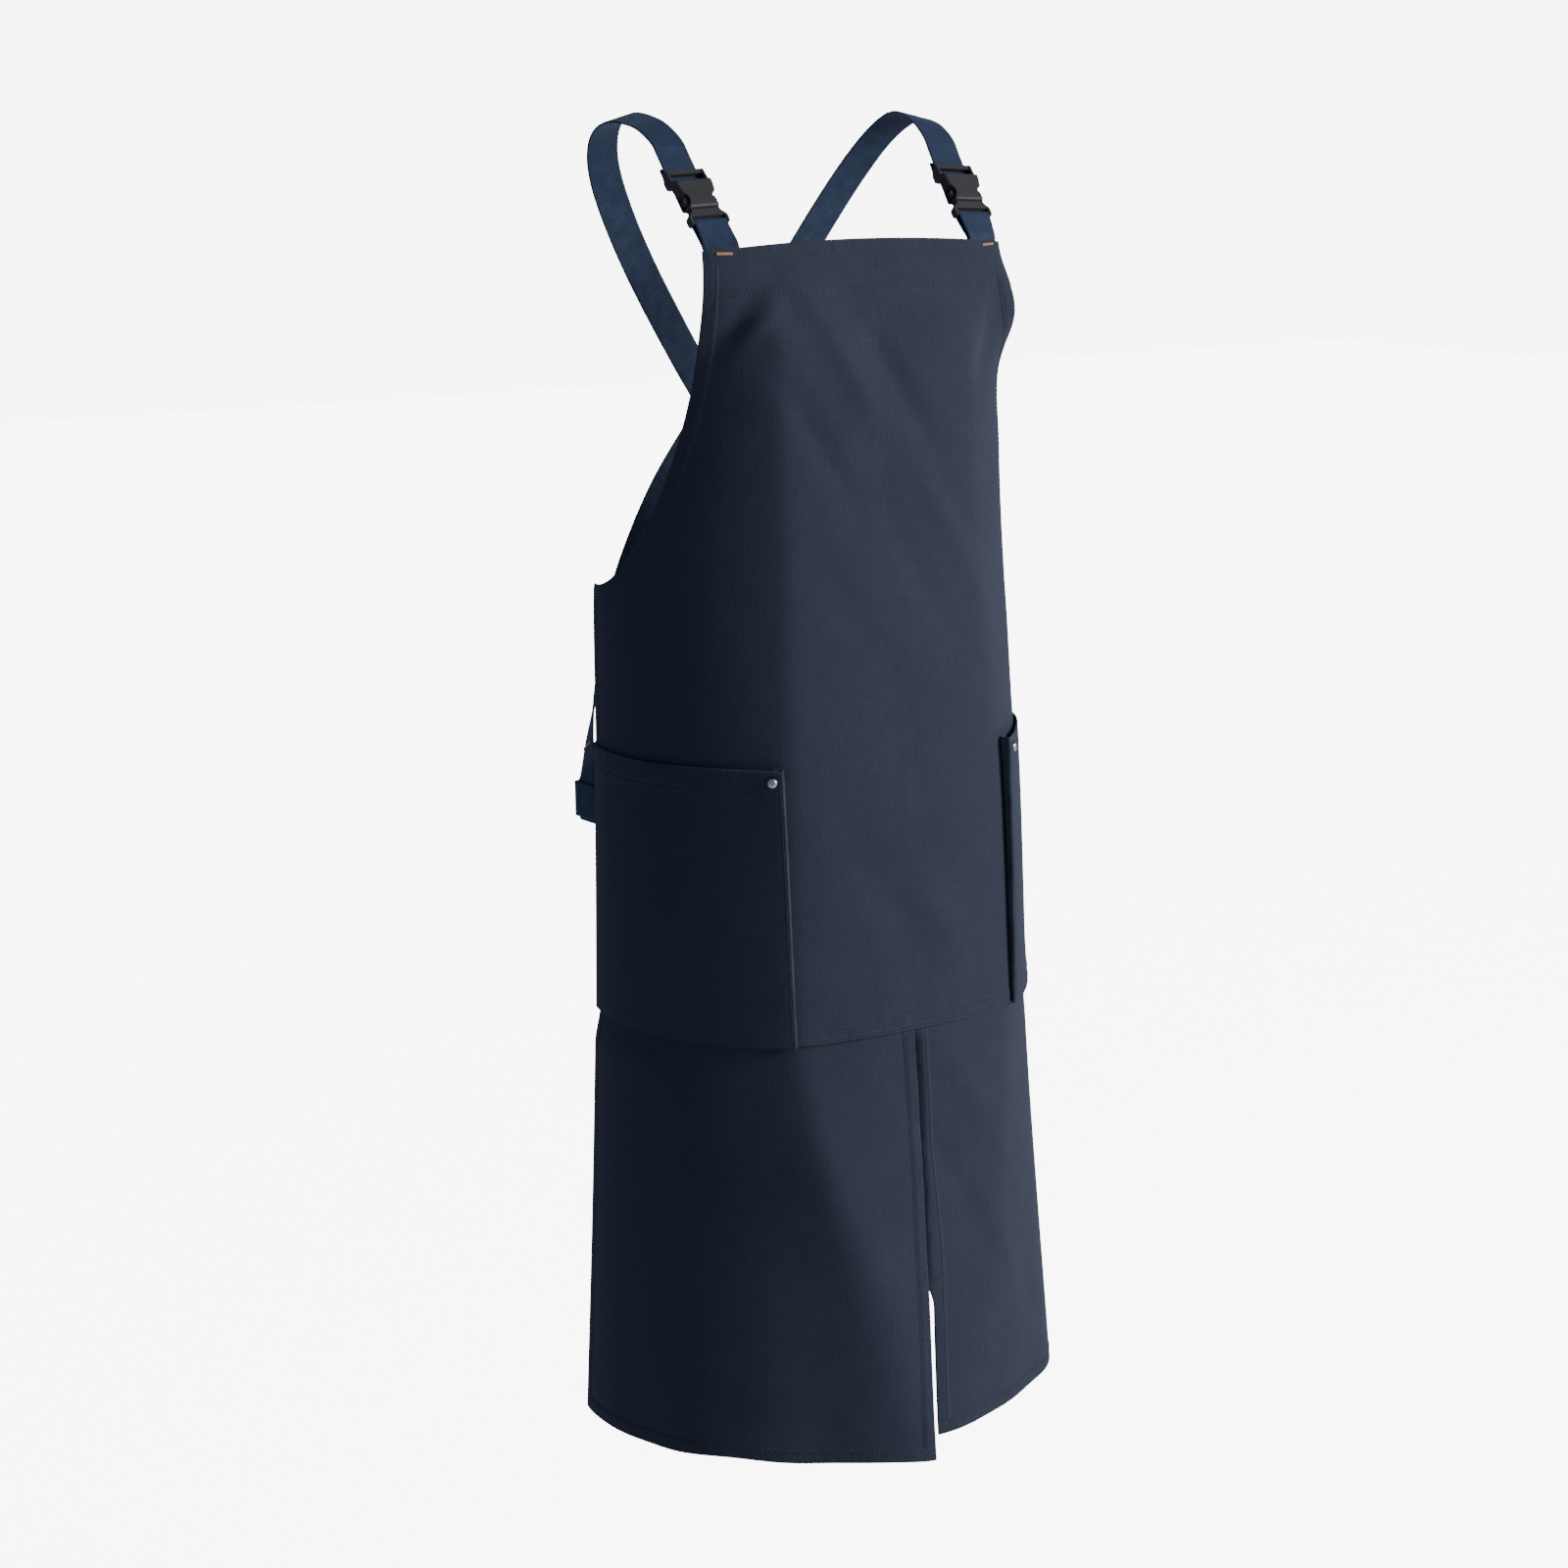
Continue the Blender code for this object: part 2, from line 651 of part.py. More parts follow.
def make_male():
    base_outline = symmetric(
        [
            (15.4, BAR_T[0]),
            (16.4, BAR_T[0] + 1.3),
            (16.5, 24.8),
            (16.1, 27.2),
            (13.0, 30.4),
            (12.1, 31.6),
            (11.9, MALE_TOP_T),
        ]
    )
    base = temporary("male", *prism(base_outline, [(-3.0, 0.5), (-2.4, 0.0), (2.7, 0.0), (3.3, 0.5)]))
    tongue = symmetric([(3.2, 31.0), (3.2, 48.2), (2.2, 49.8)])
    added = [temporary("tongue", *prism(tongue, [(-1.5, 0), (1.9, 0)]))]
    round_the_bar = [
        (17.0, 6.0),
        (17.0, 1.4),
        (BAR_T[1] - 0.7, 1.4),
        (BAR_T[1], 0.7),
        (BAR_T[1], -0.7),
        (BAR_T[1] - 0.7, -1.4),
        (17.0, -1.4),
        (17.0, -6.0),
        (SLOT_TOP_T, -6.0),
        (SLOT_TOP_T, 6.0),
    ]
    cut = [temporary("slot", *side_prism(round_the_bar, -WEB_CLEAR, WEB_CLEAR))]
    points, faces = combined(base, added, cut)
    both_sides("buckle_male", points, faces, (BUCKLE_BLACK, 0.45, 0.0))


ARM_PIVOT = (9.1, 33.6)


def make_latch_arms():
    root = 33.55
    arm = [
        (7.6, root),
        (10.6, root),
        (10.5, 36.9),
        (13.5, 38.1),
        (14.0, 39.8),
        (13.6, 41.8),
        (12.4, 43.6),
        (10.8, 44.7),
        (9.6, 50.2),
        (8.0, 50.6),
        (7.8, 44.0),
    ]
    levels = [(-1.7, 0.15), (-1.4, 0.0), (1.8, 0.0), (2.1, 0.15)]
    for stem, mirror in (("outer", 1.0), ("inner", -1.0)):
        outline = [(mirror * w, t) for w, t in arm]
        points, faces = prism(outline, levels)
        pivot = local(mirror * ARM_PIVOT[0], ARM_PIVOT[1], 0.2)
        look = (BUCKLE_BLACK, 0.45, 0.0)
        add_object(f"latch_arm_{stem}_left", points, faces, look, pivot)
        add_object(f"latch_arm_{stem}_right", mirrored(points), faces, look, mirrored(pivot))


# ---------------------------------------------------------------- webbing


def make_bib_loops():
    """Webbing folded over the male buckle's bar, both ends sewn behind the bib's top edge."""
    bar = (BAR_T[0] + BAR_T[1]) / 2 * MM
    turn = 1.4 * MM + 0.35 * MM + WEBBING / 2
    up = FOOT - on_body(LOOP_S, BIB_EDGE_Z - LOOP_BURIED, LOOP_LIFT)
    up /= np.linalg.norm(up)
    tangent = tangent_round(LOOP_S, BIB_EDGE_Z, WEBBING_WIDTH / 2)

    def spine(u):
        """Midline between the two layers: up behind the bib, then along the strap."""
        bend = min(1.0, max(0.0, (u + 3 * MM) / (10 * MM)))
        bend = bend * bend * (3 - 2 * bend)
        direction = up * (1 - bend) + LEAN * bend
        twist = min(1.0, max(0.0, (u + 3 * MM) / (22 * MM)))
        across = tangent * (1 - twist) + ACROSS * twist
        return direction / np.linalg.norm(direction), across

    steps = np.concatenate(
        [[-LOOP_BURIED, -12 * MM], np.arange(-5, 10, 2) * MM, [12 * MM, 16 * MM, 20 * MM, bar]]
    )
    centres = {}
    below = FOOT.copy()
    walk = [0.0]
    for u in steps[steps > 0]:
        below = below + spine((u + walk[-1]) / 2)[0] * (u - walk[-1])
        walk.append(u)
        centres[u] = below.copy()
    below, last = FOOT.copy(), 0.0
    for u in steps[steps <= 0][::-1]:
        below = below + spine((u + last) / 2)[0] * (u - last)
        last = u
        centres[u] = below.copy()
    tight = (WEBBING + 2 * LAYER_GAP) / 2
    shift = local(0, bar / MM, 0) - centres[bar]
    front, back, across = [], [], []
    for u in steps:
        direction, side = spine(u)
        out = np.cross(side, direction)
        out /= np.linalg.norm(out)
        opening = min(1.0, max(0.0, u / (bar - 2 * MM)))
        half = tight + (turn - tight) * opening
        middle = centres[u] + shift * opening
        front.append(middle + out * half)
        back.append(middle - out * half)
        across.append(side)
    arc = [
        local(0, bar / MM, 0) + turn * (LEAN * math.sin(a) - OUT * math.cos(a))
        for a in np.linspace(0, math.pi, 9)[1:-1]
    ]
    line = back + arc + front[::-1]
    sides = across + [ACROSS] * len(arc) + across[::-1]
    points, faces = ribbon(line, sides, WEBBING_WIDTH, WEBBING)
    both_sides("bib_loop", points, faces, (WEBBING_NAVY, 0.8, 0.0))


def run_end_frame(flare=TAB_FLARE):
    """Where a side loop leaves the side edge: position, and its own back and out directions."""
    z = TAB_HEIGHT
    s = half_width_at(z)
    tangent = tangent_round(s, z)
    out = np.array([tangent[1], -tangent[0], 0.0])
    edge = on_body(s, z, -CANVAS - SEWN_GAP - WEBBING / 2)
    back = tangent * math.cos(flare) + out * math.sin(flare)
    return edge, back, out * math.cos(flare) - tangent * math.sin(flare)


def side_loop_depths():
    """Inward distances of the strap in the loop, the loop's inner layer and the strap's tail."""
    step = WEBBING + LAYER_GAP
    return step, 2 * step, 3 * step


def make_side_loops():
    edge, tangent, out = run_end_frame()
    _, sewn_back, sewn_out = run_end_frame(0.0)
    _, inner, _ = side_loop_depths()
    up = np.array([0.0, 0.0, 1.0])

    def sewn(reach, depth=0.0):
        return edge + sewn_back * reach - sewn_out * (depth + reach**2 / (2 * 0.16))

    line = [sewn(reach) for reach in (-TAB_SEWN, -0.010, -0.003, 0.0006)]
    for reach in (0.010, TAB_REACH):
        line.append(edge + tangent * reach)
    for a in np.linspace(0, math.pi, 9)[1:-1]:
        line.append(
            edge
            + tangent * (TAB_REACH + inner / 2 * math.sin(a))
            - out * (inner / 2) * (1 - math.cos(a))
        )
    close = WEBBING + LAYER_GAP
    for reach in (TAB_REACH, 0.010, 0.0030):
        line.append(edge + tangent * reach - out * inner)
    for reach, depth in (
        (-0.005, close + (inner - close) * 0.4),
        (-0.011, close),
        (-TAB_SEWN, close),
    ):
        line.append(sewn(reach, depth))
    points, faces = ribbon(np.array(line), [up] * len(line), WEBBING_WIDTH, WEBBING)
    both_sides("side_loop", points, faces, (WEBBING_NAVY, 0.8, 0.0))


def strap_spine():
    """Knots (x, y, z, outward x, y, z) of the strap over the wearer's left shoulder."""
    knots = []
    for t in (36.0, 48.0, 60.0, 72.0, 84.0, 94.0):
        knots.append([*local(0, t, RUN_N), *OUT])
    knots += [
        [0.1215, -0.0335, -0.0055, 0.09, -0.47, 0.88],
        [*CREST, 0.25, 0.00, 0.97],
        [0.1240, 0.0290, -0.0125, 0.25, 0.45, 0.85],
        [0.1110, 0.0520, -0.0420, 0.16, 0.85, 0.48],
        [0.0840, 0.0680, -0.0900, 0.08, 0.97, 0.22],
        [0.0470, 0.0775, -0.1500, 0.02, 1.00, 0.08],
        [0.0000, 0.0815, -0.2220, 0.00, 1.00, 0.02],
    ]
    for s, z, lift, flared in (
        (0.392, -0.290, 0.0015, 0.0),
        (0.352, -0.362, 0.0000, 0.15),
        (0.319, -0.425, 0.0005, 0.45),
        (0.303, -0.464, 0.0035, 0.85),
    ):
        at = on_body(s, z, lift)
        along = tangent_round(s, z)
        turn = TAB_FLARE * flared
        out = np.array([along[1], -along[0]]) * math.cos(turn) - along[:2] * math.sin(turn)
        knots.append([-at[0], at[1], at[2], -out[0], out[1], 0.0])
    return knots


STRAP_END_SEWN = []


def make_shoulder_straps():
    """One strap lies over the other where they cross; each end is folded back round its loop."""
    edge, tangent, out = run_end_frame()
    run, _, tail = side_loop_depths()
    flip = np.array([-1.0, 1.0, 1.0])
    base = (edge + tangent * CHANNEL_CENTRE) * flip
    outward, along = out * flip, tangent * flip
    low = TAB_HEIGHT - WEBBING_WIDTH / 2 - 1.2 * MM
    knots = strap_spine()
    for z in (TAB_HEIGHT + 0.018, TAB_HEIGHT + 0.006, low):
        at = base - outward * run
        knots.append([at[0], at[1], z, *outward])
    line = smooth_line(knots, 0.0105)
    centres, normals = line[:, :3], line[:, 3:]
    normals /= np.linalg.norm(normals, axis=1)[:, None]
    half = (tail - run) / 2
    turn = [
        base - outward * (run + half * (1 - math.cos(a))) + (0, 0, low - base[2] - half * math.sin(a))
        for a in np.linspace(0, math.pi, 9)[1:-1]
    ]
    back = []
    for z in (low, TAB_HEIGHT, TAB_HEIGHT + 0.0175, TAB_HEIGHT + 0.026, TAB_HEIGHT + 0.040):
        here = np.array([np.interp(-z, -centres[:, 2][40:], centres[:, k][40:]) for k in range(3)])
        facing = np.array([np.interp(-z, -centres[:, 2][40:], normals[:, k][40:]) for k in range(3)])
        close = min(1.0, max(0.0, (z - TAB_HEIGHT - 0.014) / 0.020))
        gap = (tail - run) * (1 - close) + (WEBBING + 1.0 * MM) * close
        here[2] = z
        back.append((here - facing * gap, facing))
    for name, mirror, over in (("shoulder_strap_left", 1, 1.0), ("shoulder_strap_right", -1, -1.0)):
        bump = np.exp(-(((centres[:, 2] + 0.222) / 0.060) ** 2)) * (centres[:, 1] > 0.03)
        moved = centres + normals * (bump * over * 1.7 * MM)[:, None]
        full = list(moved) + turn + [p for p, _ in back]
        facing = list(normals) + [outward] * len(turn) + [f for _, f in back]
        full, facing = np.array(full), np.array(facing)
        direction = np.gradient(full, axis=0)
        across = np.cross(direction, facing)
        across /= np.linalg.norm(across, axis=1)[:, None]
        after = len(moved) - 1
        turned = after + len(turn) + 2
        across[after:turned] = along * np.sign(across[after - 2] @ along)
        across[turned:] *= -1.0
        points, faces = ribbon(full, across, WEBBING_WIDTH, WEBBING)
        if mirror < 0:
            points = mirrored(points)
        add_object(name, points, faces, (WEBBING_NAVY, 0.8, 0.0))
        sewn = int(np.argmin(np.abs(full[:after, 2] - TAB_HEIGHT - 0.036)))
        STRAP_END_SEWN.append((full[sewn], across[sewn], facing[sewn]))


def make_strap_tails():
    """Webbing turned under the female buckle's rear bar, with its free end behind the strap."""
    t_mid = (REAR_BAR_T[0] + REAR_BAR_T[1]) / 2
    front_n, back_n = -6.4, -8.8
    n_mid = (front_n + back_n) / 2
    under = REAR_BAR_T[0] - 0.35 - WEBBING / MM / 2
    rear = back_n - 0.35 - WEBBING / MM / 2
    line = [local(0, under + 0.10, -6.95), local(0, under, -7.6), local(0, under, n_mid - 0.5)]
    for a in np.linspace(0, math.pi / 2, 5)[1:]:
        depth = n_mid - 0.5 - (n_mid - 0.5 - rear) * math.sin(a)
        line.append(local(0, under + 1.3 * (1 - math.cos(a)), depth))
    for t in (t_mid + 2, 66.0, 71.0, 76.0):
        line.append(local(0, t, rear + min(1.0, max(0.0, (t - 64) / 12)) * 0.7))
    points, faces = ribbon(line, [ACROSS] * len(line), WEBBING_WIDTH, WEBBING)
    both_sides("strap_tail", points, faces, (WEBBING_NAVY, 0.8, 0.0), local(0, 50, 0))


# ---------------------------------------------------------------- bar tacks


def tack(centre, along, out, length, height, thickness):
    up = np.cross(out, along)
    points = []
    for a in (-1, 1):
        for b in (-1, 1):
            for c in (-1, 1):
                points.append(
                    centre + along * a * length / 2 + up * b * height / 2 + out * c * thickness / 2
                )
    faces = [(0, 1, 3, 2), (4, 6, 7, 5), (0, 4, 5, 1), (2, 3, 7, 6), (0, 2, 6, 4), (1, 5, 7, 3)]
    return np.array(points), faces


def make_bar_tacks():
    z = BIB_EDGE_Z - 0.0030
    along = tangent_round(LOOP_S, z)
    out = np.array([along[1], -along[0], 0.0])
    centre = on_body(LOOP_S, z, 0.8 * MM)
    points, faces = tack(centre, along, out, 12 * MM, 2.0 * MM, 0.6 * MM)
    both_sides("bib_bar_tack", points, faces, (THREAD_TAN, 0.7, 0.0))
    for name, mirror in (("strap_end_tack_left", 1), ("strap_end_tack_right", -1)):
        centre, across, out = STRAP_END_SEWN[0]
        points, faces = tack(centre + out * 1.5 * MM, across, out, 20 * MM, 2.0 * MM, 0.6 * MM)
        if mirror < 0:
            points = mirrored(points)
        add_object(name, points, faces, (THREAD_TAN, 0.7, 0.0))


make_apron_body()
make_bib_facing()
make_leg_panels()
make_pockets()
make_rivets()
make_bib_loops()
make_male()
make_latch_arms()
make_female()
make_shoulder_straps()
make_strap_tails()
make_side_loops()
make_bar_tacks()
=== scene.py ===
"""The visible split-leg smock apron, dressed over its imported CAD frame.

The cloth is wrapped round the wearer's shape. A place on it is (s, z): s runs round from
the centre front, positive towards the wearer's left, and z is the height.
"""

import math

import bmesh
import bpy
import numpy as np
from mathutils import Matrix, Vector


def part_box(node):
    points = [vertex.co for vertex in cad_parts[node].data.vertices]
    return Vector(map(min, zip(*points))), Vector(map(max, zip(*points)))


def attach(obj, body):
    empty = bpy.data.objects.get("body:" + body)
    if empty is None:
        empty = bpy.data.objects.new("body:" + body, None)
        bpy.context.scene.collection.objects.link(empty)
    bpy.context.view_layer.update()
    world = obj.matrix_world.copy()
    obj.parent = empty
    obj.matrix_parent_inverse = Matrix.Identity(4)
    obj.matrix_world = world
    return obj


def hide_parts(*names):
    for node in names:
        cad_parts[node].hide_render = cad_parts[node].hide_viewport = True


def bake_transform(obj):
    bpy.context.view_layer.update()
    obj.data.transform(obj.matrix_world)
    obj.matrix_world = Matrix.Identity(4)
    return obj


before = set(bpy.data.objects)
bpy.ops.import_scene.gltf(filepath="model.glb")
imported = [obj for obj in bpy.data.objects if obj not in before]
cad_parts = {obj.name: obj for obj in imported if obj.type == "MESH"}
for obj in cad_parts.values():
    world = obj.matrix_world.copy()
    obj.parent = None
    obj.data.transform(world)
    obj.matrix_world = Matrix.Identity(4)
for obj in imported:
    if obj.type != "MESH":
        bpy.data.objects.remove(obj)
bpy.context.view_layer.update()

MM = 0.001
SIDES = (("left", 1.0), ("right", -1.0))

# Heights and edges, from the frame
BIB_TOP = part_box("bib_bar_tack_left")[1].z + 0.6 * MM
WAIST_CORNER = -0.3365
HIP_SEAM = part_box("apron_body")[0].z
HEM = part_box("leg_panel_left")[0].z
POCKET_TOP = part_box("pocket_left")[1].z

# Half widths of the flat cloth, and its layers
BIB_HALF = 0.1305
WAIST_HALF = 0.2640
SEAM_HALF = 0.2940
HEM_HALF = 0.3355
BIB_ARCH = 0.006
CANVAS = 1.2 * MM
SEWN_GAP = 0.9 * MM
UNDER_SEAM = -CANVAS - SEWN_GAP
HEM_WIDTH = 10 * MM
FACING_DEPTH = 32 * MM

# The wearer: height, half width, half depth, centre Y and squareness of each level
BODY_LEVELS = np.array(
    [
        (-0.985, 0.192, 0.164, -0.069, 2.1),
        (-0.661, 0.174, 0.142, -0.054, 2.15),
        (-0.456, 0.170, 0.128, -0.049, 2.15),
        (-0.340, 0.165, 0.121, -0.040, 2.15),
        (-0.250, 0.158, 0.116, -0.038, 2.2),
        (-0.185, 0.153, 0.112, -0.038, 2.4),
        (-0.125, 0.163, 0.094, -0.042, 3.2),
        (-0.080, 0.150, 0.068, -0.055, 5.0),
    ]
)


# ---------------------------------------------------------------- the cloth's place


def blend01(x, low, high):
    t = np.clip((np.asarray(x, float) - low) / (high - low), 0.0, 1.0)
    return t * t * (3 - 2 * t)


def hump(x, centre, width):
    return np.exp(-(((np.asarray(x, float) - centre) / width) ** 2))


def body_level(z):
    heights = BODY_LEVELS[:, 0]
    k = int(np.clip(np.searchsorted(heights, z) - 1, 0, len(heights) - 2))
    h = heights[k + 1] - heights[k]
    t = float(np.clip((z - heights[k]) / h, 0.0, 1.0))
    slope = np.gradient(BODY_LEVELS[:, 1:], heights, axis=0)
    low, high = BODY_LEVELS[k, 1:], BODY_LEVELS[k + 1, 1:]
    return (
        (2 * t**3 - 3 * t**2 + 1) * low
        + (t**3 - 2 * t**2 + t) * h * slope[k]
        + (3 * t**2 - 2 * t**3) * high
        + (t**3 - t**2) * h * slope[k + 1]
    )


CORNER_PLACES = (0.082, 0.098, 0.097, 0.077, 0.054, 0.030)
RING_Z = np.arange(-1.000, -0.060, 0.002)
RING_S = np.arange(0.0, 0.450, 0.001)


def build_rings():
    """X and Y of the wearer's left side for each height and each length round it."""
    xs, ys = [], []
    turn = np.linspace(0.0, math.pi, 1441)
    for z in RING_Z:
        half_width, half_depth, centre, square = body_level(z)
        x = half_width * np.abs(np.sin(turn)) ** (2 / square)
        y = centre - half_depth * np.sign(np.cos(turn)) * np.abs(np.cos(turn)) ** (2 / square)
        length = np.concatenate([[0.0], np.cumsum(np.hypot(np.diff(x), np.diff(y)))])
        xs.append(np.interp(RING_S, length, x))
        ys.append(np.interp(RING_S, length, y))
    return np.array(xs), np.array(ys)


RING_X, RING_Y = build_rings()


def ring_point(s, z):
    row = np.clip((z - RING_Z[0]) / 0.002, 0, len(RING_Z) - 1.001)
    column = np.clip(np.abs(s) / 0.001, 0, len(RING_S) - 1.001)
    r, c = row.astype(int), column.astype(int)
    fr, fc = row - r, column - c

    def mix(grid):
        low = grid[r, c] * (1 - fc) + grid[r, c + 1] * fc
        high = grid[r + 1, c] * (1 - fc) + grid[r + 1, c + 1] * fc
        return low * (1 - fr) + high * fr

    return np.where(s < 0, -1.0, 1.0) * mix(RING_X), mix(RING_Y)


def corner_lift(s, z):
    """The cloth's upright corners, between its flat front and its sides."""
    centre = np.interp(-z, (0.300, 0.600, 0.661, 0.800, 0.900, 0.981), CORNER_PLACES)
    fade = np.clip((HIP_SEAM - z) / (HIP_SEAM - HEM), 0.0, 1.0)
    height = 8.0 * MM * blend01(-z, 0.124, 0.160) * (1.0 - 0.8 * fade)
    away = np.hypot(np.abs(s) - centre, 7 * MM) - 7 * MM
    return height * np.exp(-away / 0.045)


def place(s, z, lift=0.0):
    """Points for a cloth length s round, at height z, lifted outwards."""
    s, z, lift = np.broadcast_arrays(*(np.asarray(v, float) for v in (s, z, lift)))
    lift = lift + corner_lift(s, z)
    x, y = ring_point(s, z)
    xa, ya = ring_point(s + 0.004, z)
    xb, yb = ring_point(s - 0.004, z)
    ax, ay = xa - xb, ya - yb
    size = np.hypot(ax, ay)
    return np.stack([x + ay / size * lift, y - ax / size * lift, z], -1)


def half_width_at(z):
    z = np.asarray(z, float)
    t = np.clip((BIB_TOP - z) / (BIB_TOP - WAIST_CORNER), 0.0, 1.0)
    bib = BIB_HALF + (WAIST_HALF - BIB_HALF) * (1.0 - (1.0 - t**1.65) ** 0.45)
    hip = np.interp(-z, (-WAIST_CORNER, -HIP_SEAM), (WAIST_HALF, SEAM_HALF))
    leg = np.interp(-z, (-HIP_SEAM, -HEM), (SEAM_HALF, HEM_HALF))
    return np.where(z > WAIST_CORNER, bib, np.where(z > HIP_SEAM, hip, leg))


def arch_at(s, z):
    fade = np.clip(1.0 - (BIB_TOP - z) / 0.09, 0.0, 1.0)
    return BIB_ARCH * (1.0 - np.minimum(1.0, np.abs(s) / BIB_HALF) ** 2) * fade**2


# ---------------------------------------------------------------- folds


def folds(s, z):
    """How far soft folds lift the cloth at a place. Every layer there moves alike."""
    s, z = np.asarray(s, float), np.asarray(z, float)
    down = np.clip((HIP_SEAM - z) / (HIP_SEAM - HEM), 0.0, 1.0)
    lift = np.zeros(np.broadcast(s, z).shape)
    # the bib springs out at its left edge, with a crease under it
    lift += 0.0170 * hump(s, 0.152, 0.026) * hump(z, -0.134, 0.030)
    lift -= 0.0040 * hump(s - 0.45 * (z + 0.165), 0.104, 0.012) * hump(z, -0.165, 0.028)
    lift += 0.0030 * hump(s, 0.130, 0.050) * hump(z, -0.240, 0.090)
    # the cloth breaks below the hem under the right strap
    lift += 0.0034 * hump(s - 0.9 * (z + 0.140), -0.094, 0.011) * hump(z, -0.140, 0.016)
    lift -= 0.0026 * hump(s - 0.7 * (z + 0.150), -0.116, 0.012) * hump(z, -0.146, 0.022)
    # and its top corner turns in a little
    lift -= 0.0050 * hump(s, 0.140, 0.012) * hump(z, -0.098, 0.020)
    # slack folds slanting down across the chest
    for s0, z0, high, wide, tall in (
        (-0.030, -0.170, 0.0022, 0.013, 0.050),
        (0.012, -0.185, -0.0020, 0.012, 0.045),
        (-0.055, -0.225, -0.0013, 0.012, 0.050),
        (0.058, -0.300, 0.0016, 0.013, 0.060),
        (0.030, -0.330, -0.0013, 0.014, 0.050),
        (-0.030, -0.360, -0.0010, 0.016, 0.050),
        (-0.020, -0.560, -0.0014, 0.018, 0.050),
        (0.030, -0.585, 0.0009, 0.016, 0.050),
        (0.056, -0.728, 0.0021, 0.017, 0.040),
        (0.026, -0.775, -0.0016, 0.014, 0.050),
        (0.078, -0.845, 0.0017, 0.016, 0.050),
        (0.115, -0.900, -0.0014, 0.015, 0.045),
    ):
        lift += 1.35 * high * hump(s - s0 + 0.55 * (z - z0), 0.0, wide) * hump(z, z0, tall)
    # a short sharp start to the right corner, and a flatter left hip
    near = np.hypot(-s - 0.083, 6 * MM) - 6 * MM
    lift += np.where(s < 0, 0.0045, 0.0) * hump(z, -0.142, 0.018) * np.exp(-near / 0.030)
    lift -= 0.0022 * blend01(s, 0.105, 0.155) * blend01(-z, 0.36, 0.45) * blend01(z, -0.70, -0.62)
    # the pressed crease of the folded apron, down the middle
    lift += 0.0005 * hump(s, 0.001, 0.0022) * hump(z, -0.490, 0.085)
    # flutes of the skirt, growing towards the hem
    lift += down**1.3 * 0.0016 * np.sin(np.abs(s) * 43 + 0.7 + 0.6 * np.sign(s))
    lift += down**1.8 * 0.0007 * np.sin(np.abs(s) * 88 + 1.9 - 0.9 * np.sign(s))
    # the right panel breaks along a slanting line from the hip to the slit's foot
    line = np.interp(-z, (0.661, 0.726, 0.792, 0.862, 0.981), (0.097, 0.088, 0.068, 0.042, 0.018))
    ridge = np.hypot(-s - line, 10 * MM) - 10 * MM
    lift += np.where(s < 0, 0.0100, 0.0) * blend01(down, 0.0, 0.35) * np.exp(-ridge / 0.050)
    # its front corner kicks forward beside the slit
    lift += np.where(s < 0, 0.0040, 0.0) * blend01(down, 0.5, 1.0) * np.exp(-np.abs(s) / 0.030)
    # it bells out at its side
    lift += np.where(s < 0, 0.0038, 0.0) * blend01(-s, 0.12, 0.22) * blend01(HIP_SEAM - z, 0.0, 0.03)
    return lift


def hem_rise(s, z):
    """The hem's height wanders: the right panel's front corner hangs lowest."""
    down = np.clip((HIP_SEAM - z) / (HIP_SEAM - HEM), 0.0, 1.0)
    right = -6.5 * hump(s, 0.0, 0.040) + 5.0 * hump(s, -0.175, 0.050) - 6.0 * hump(s, -0.345, 0.060)
    left = 7.0 + 3.0 * blend01(s, 0.02, 0.14)
    return np.where(s < 0, right, left) * MM * down**2


# ---------------------------------------------------------------- mesh helpers


def closed_sheet(outer, inner):
    """Points and quads of a sheet between two grids with the same rows and columns."""
    rows, columns = outer.shape[:2]
    index = np.arange(rows * columns * 2).reshape(2, rows, columns)
    front, back = index

    def quads(grid, flip):
        q = np.stack([grid[:-1, :-1], grid[1:, :-1], grid[1:, 1:], grid[:-1, 1:]], -1)
        q = q.reshape(-1, 4)
        return q[:, ::-1] if flip else q

    def strip(a, b):
        return np.stack([a[:-1], a[1:], b[1:], b[:-1]], -1)

    faces = [quads(front, False), quads(back, True)]
    faces.append(strip(front[0], back[0]))
    faces.append(strip(back[-1], front[-1]))
    faces.append(strip(back[:, 0], front[:, 0]))
    faces.append(strip(front[:, -1], back[:, -1]))
    points = np.concatenate([outer.reshape(-1, 3), inner.reshape(-1, 3)])
    return points, np.concatenate(faces)


def add_mesh(name, points, faces, material, uv=None, values=None):
    """A smooth-shaded object; uv and values give each point's map place and numbers."""
    mesh = bpy.data.meshes.new(name)
    mesh.from_pydata(np.asarray(points, float).tolist(), [], [list(map(int, f)) for f in faces])
    if uv is not None:
        layer = mesh.uv_layers.new(name="UVMap")
        corner = np.zeros(len(mesh.loops), int)
        mesh.loops.foreach_get("vertex_index", corner)
        layer.data.foreach_set("uv", np.asarray(uv, float)[corner].ravel())
    for key, numbers in (values or {}).items():
        attribute = mesh.attributes.new(key, "FLOAT", "POINT")
        attribute.data.foreach_set("value", np.asarray(numbers, np.float32))
    bm = bmesh.new()
    bm.from_mesh(mesh)
    bmesh.ops.recalc_face_normals(bm, faces=bm.faces)
    bm.to_mesh(mesh)
    bm.free()
    mesh.polygons.foreach_set("use_smooth", [True] * len(mesh.polygons))
    mesh.materials.append(material)
    thing = bpy.data.objects.new(name, mesh)
    bpy.context.scene.collection.objects.link(thing)
    return thing


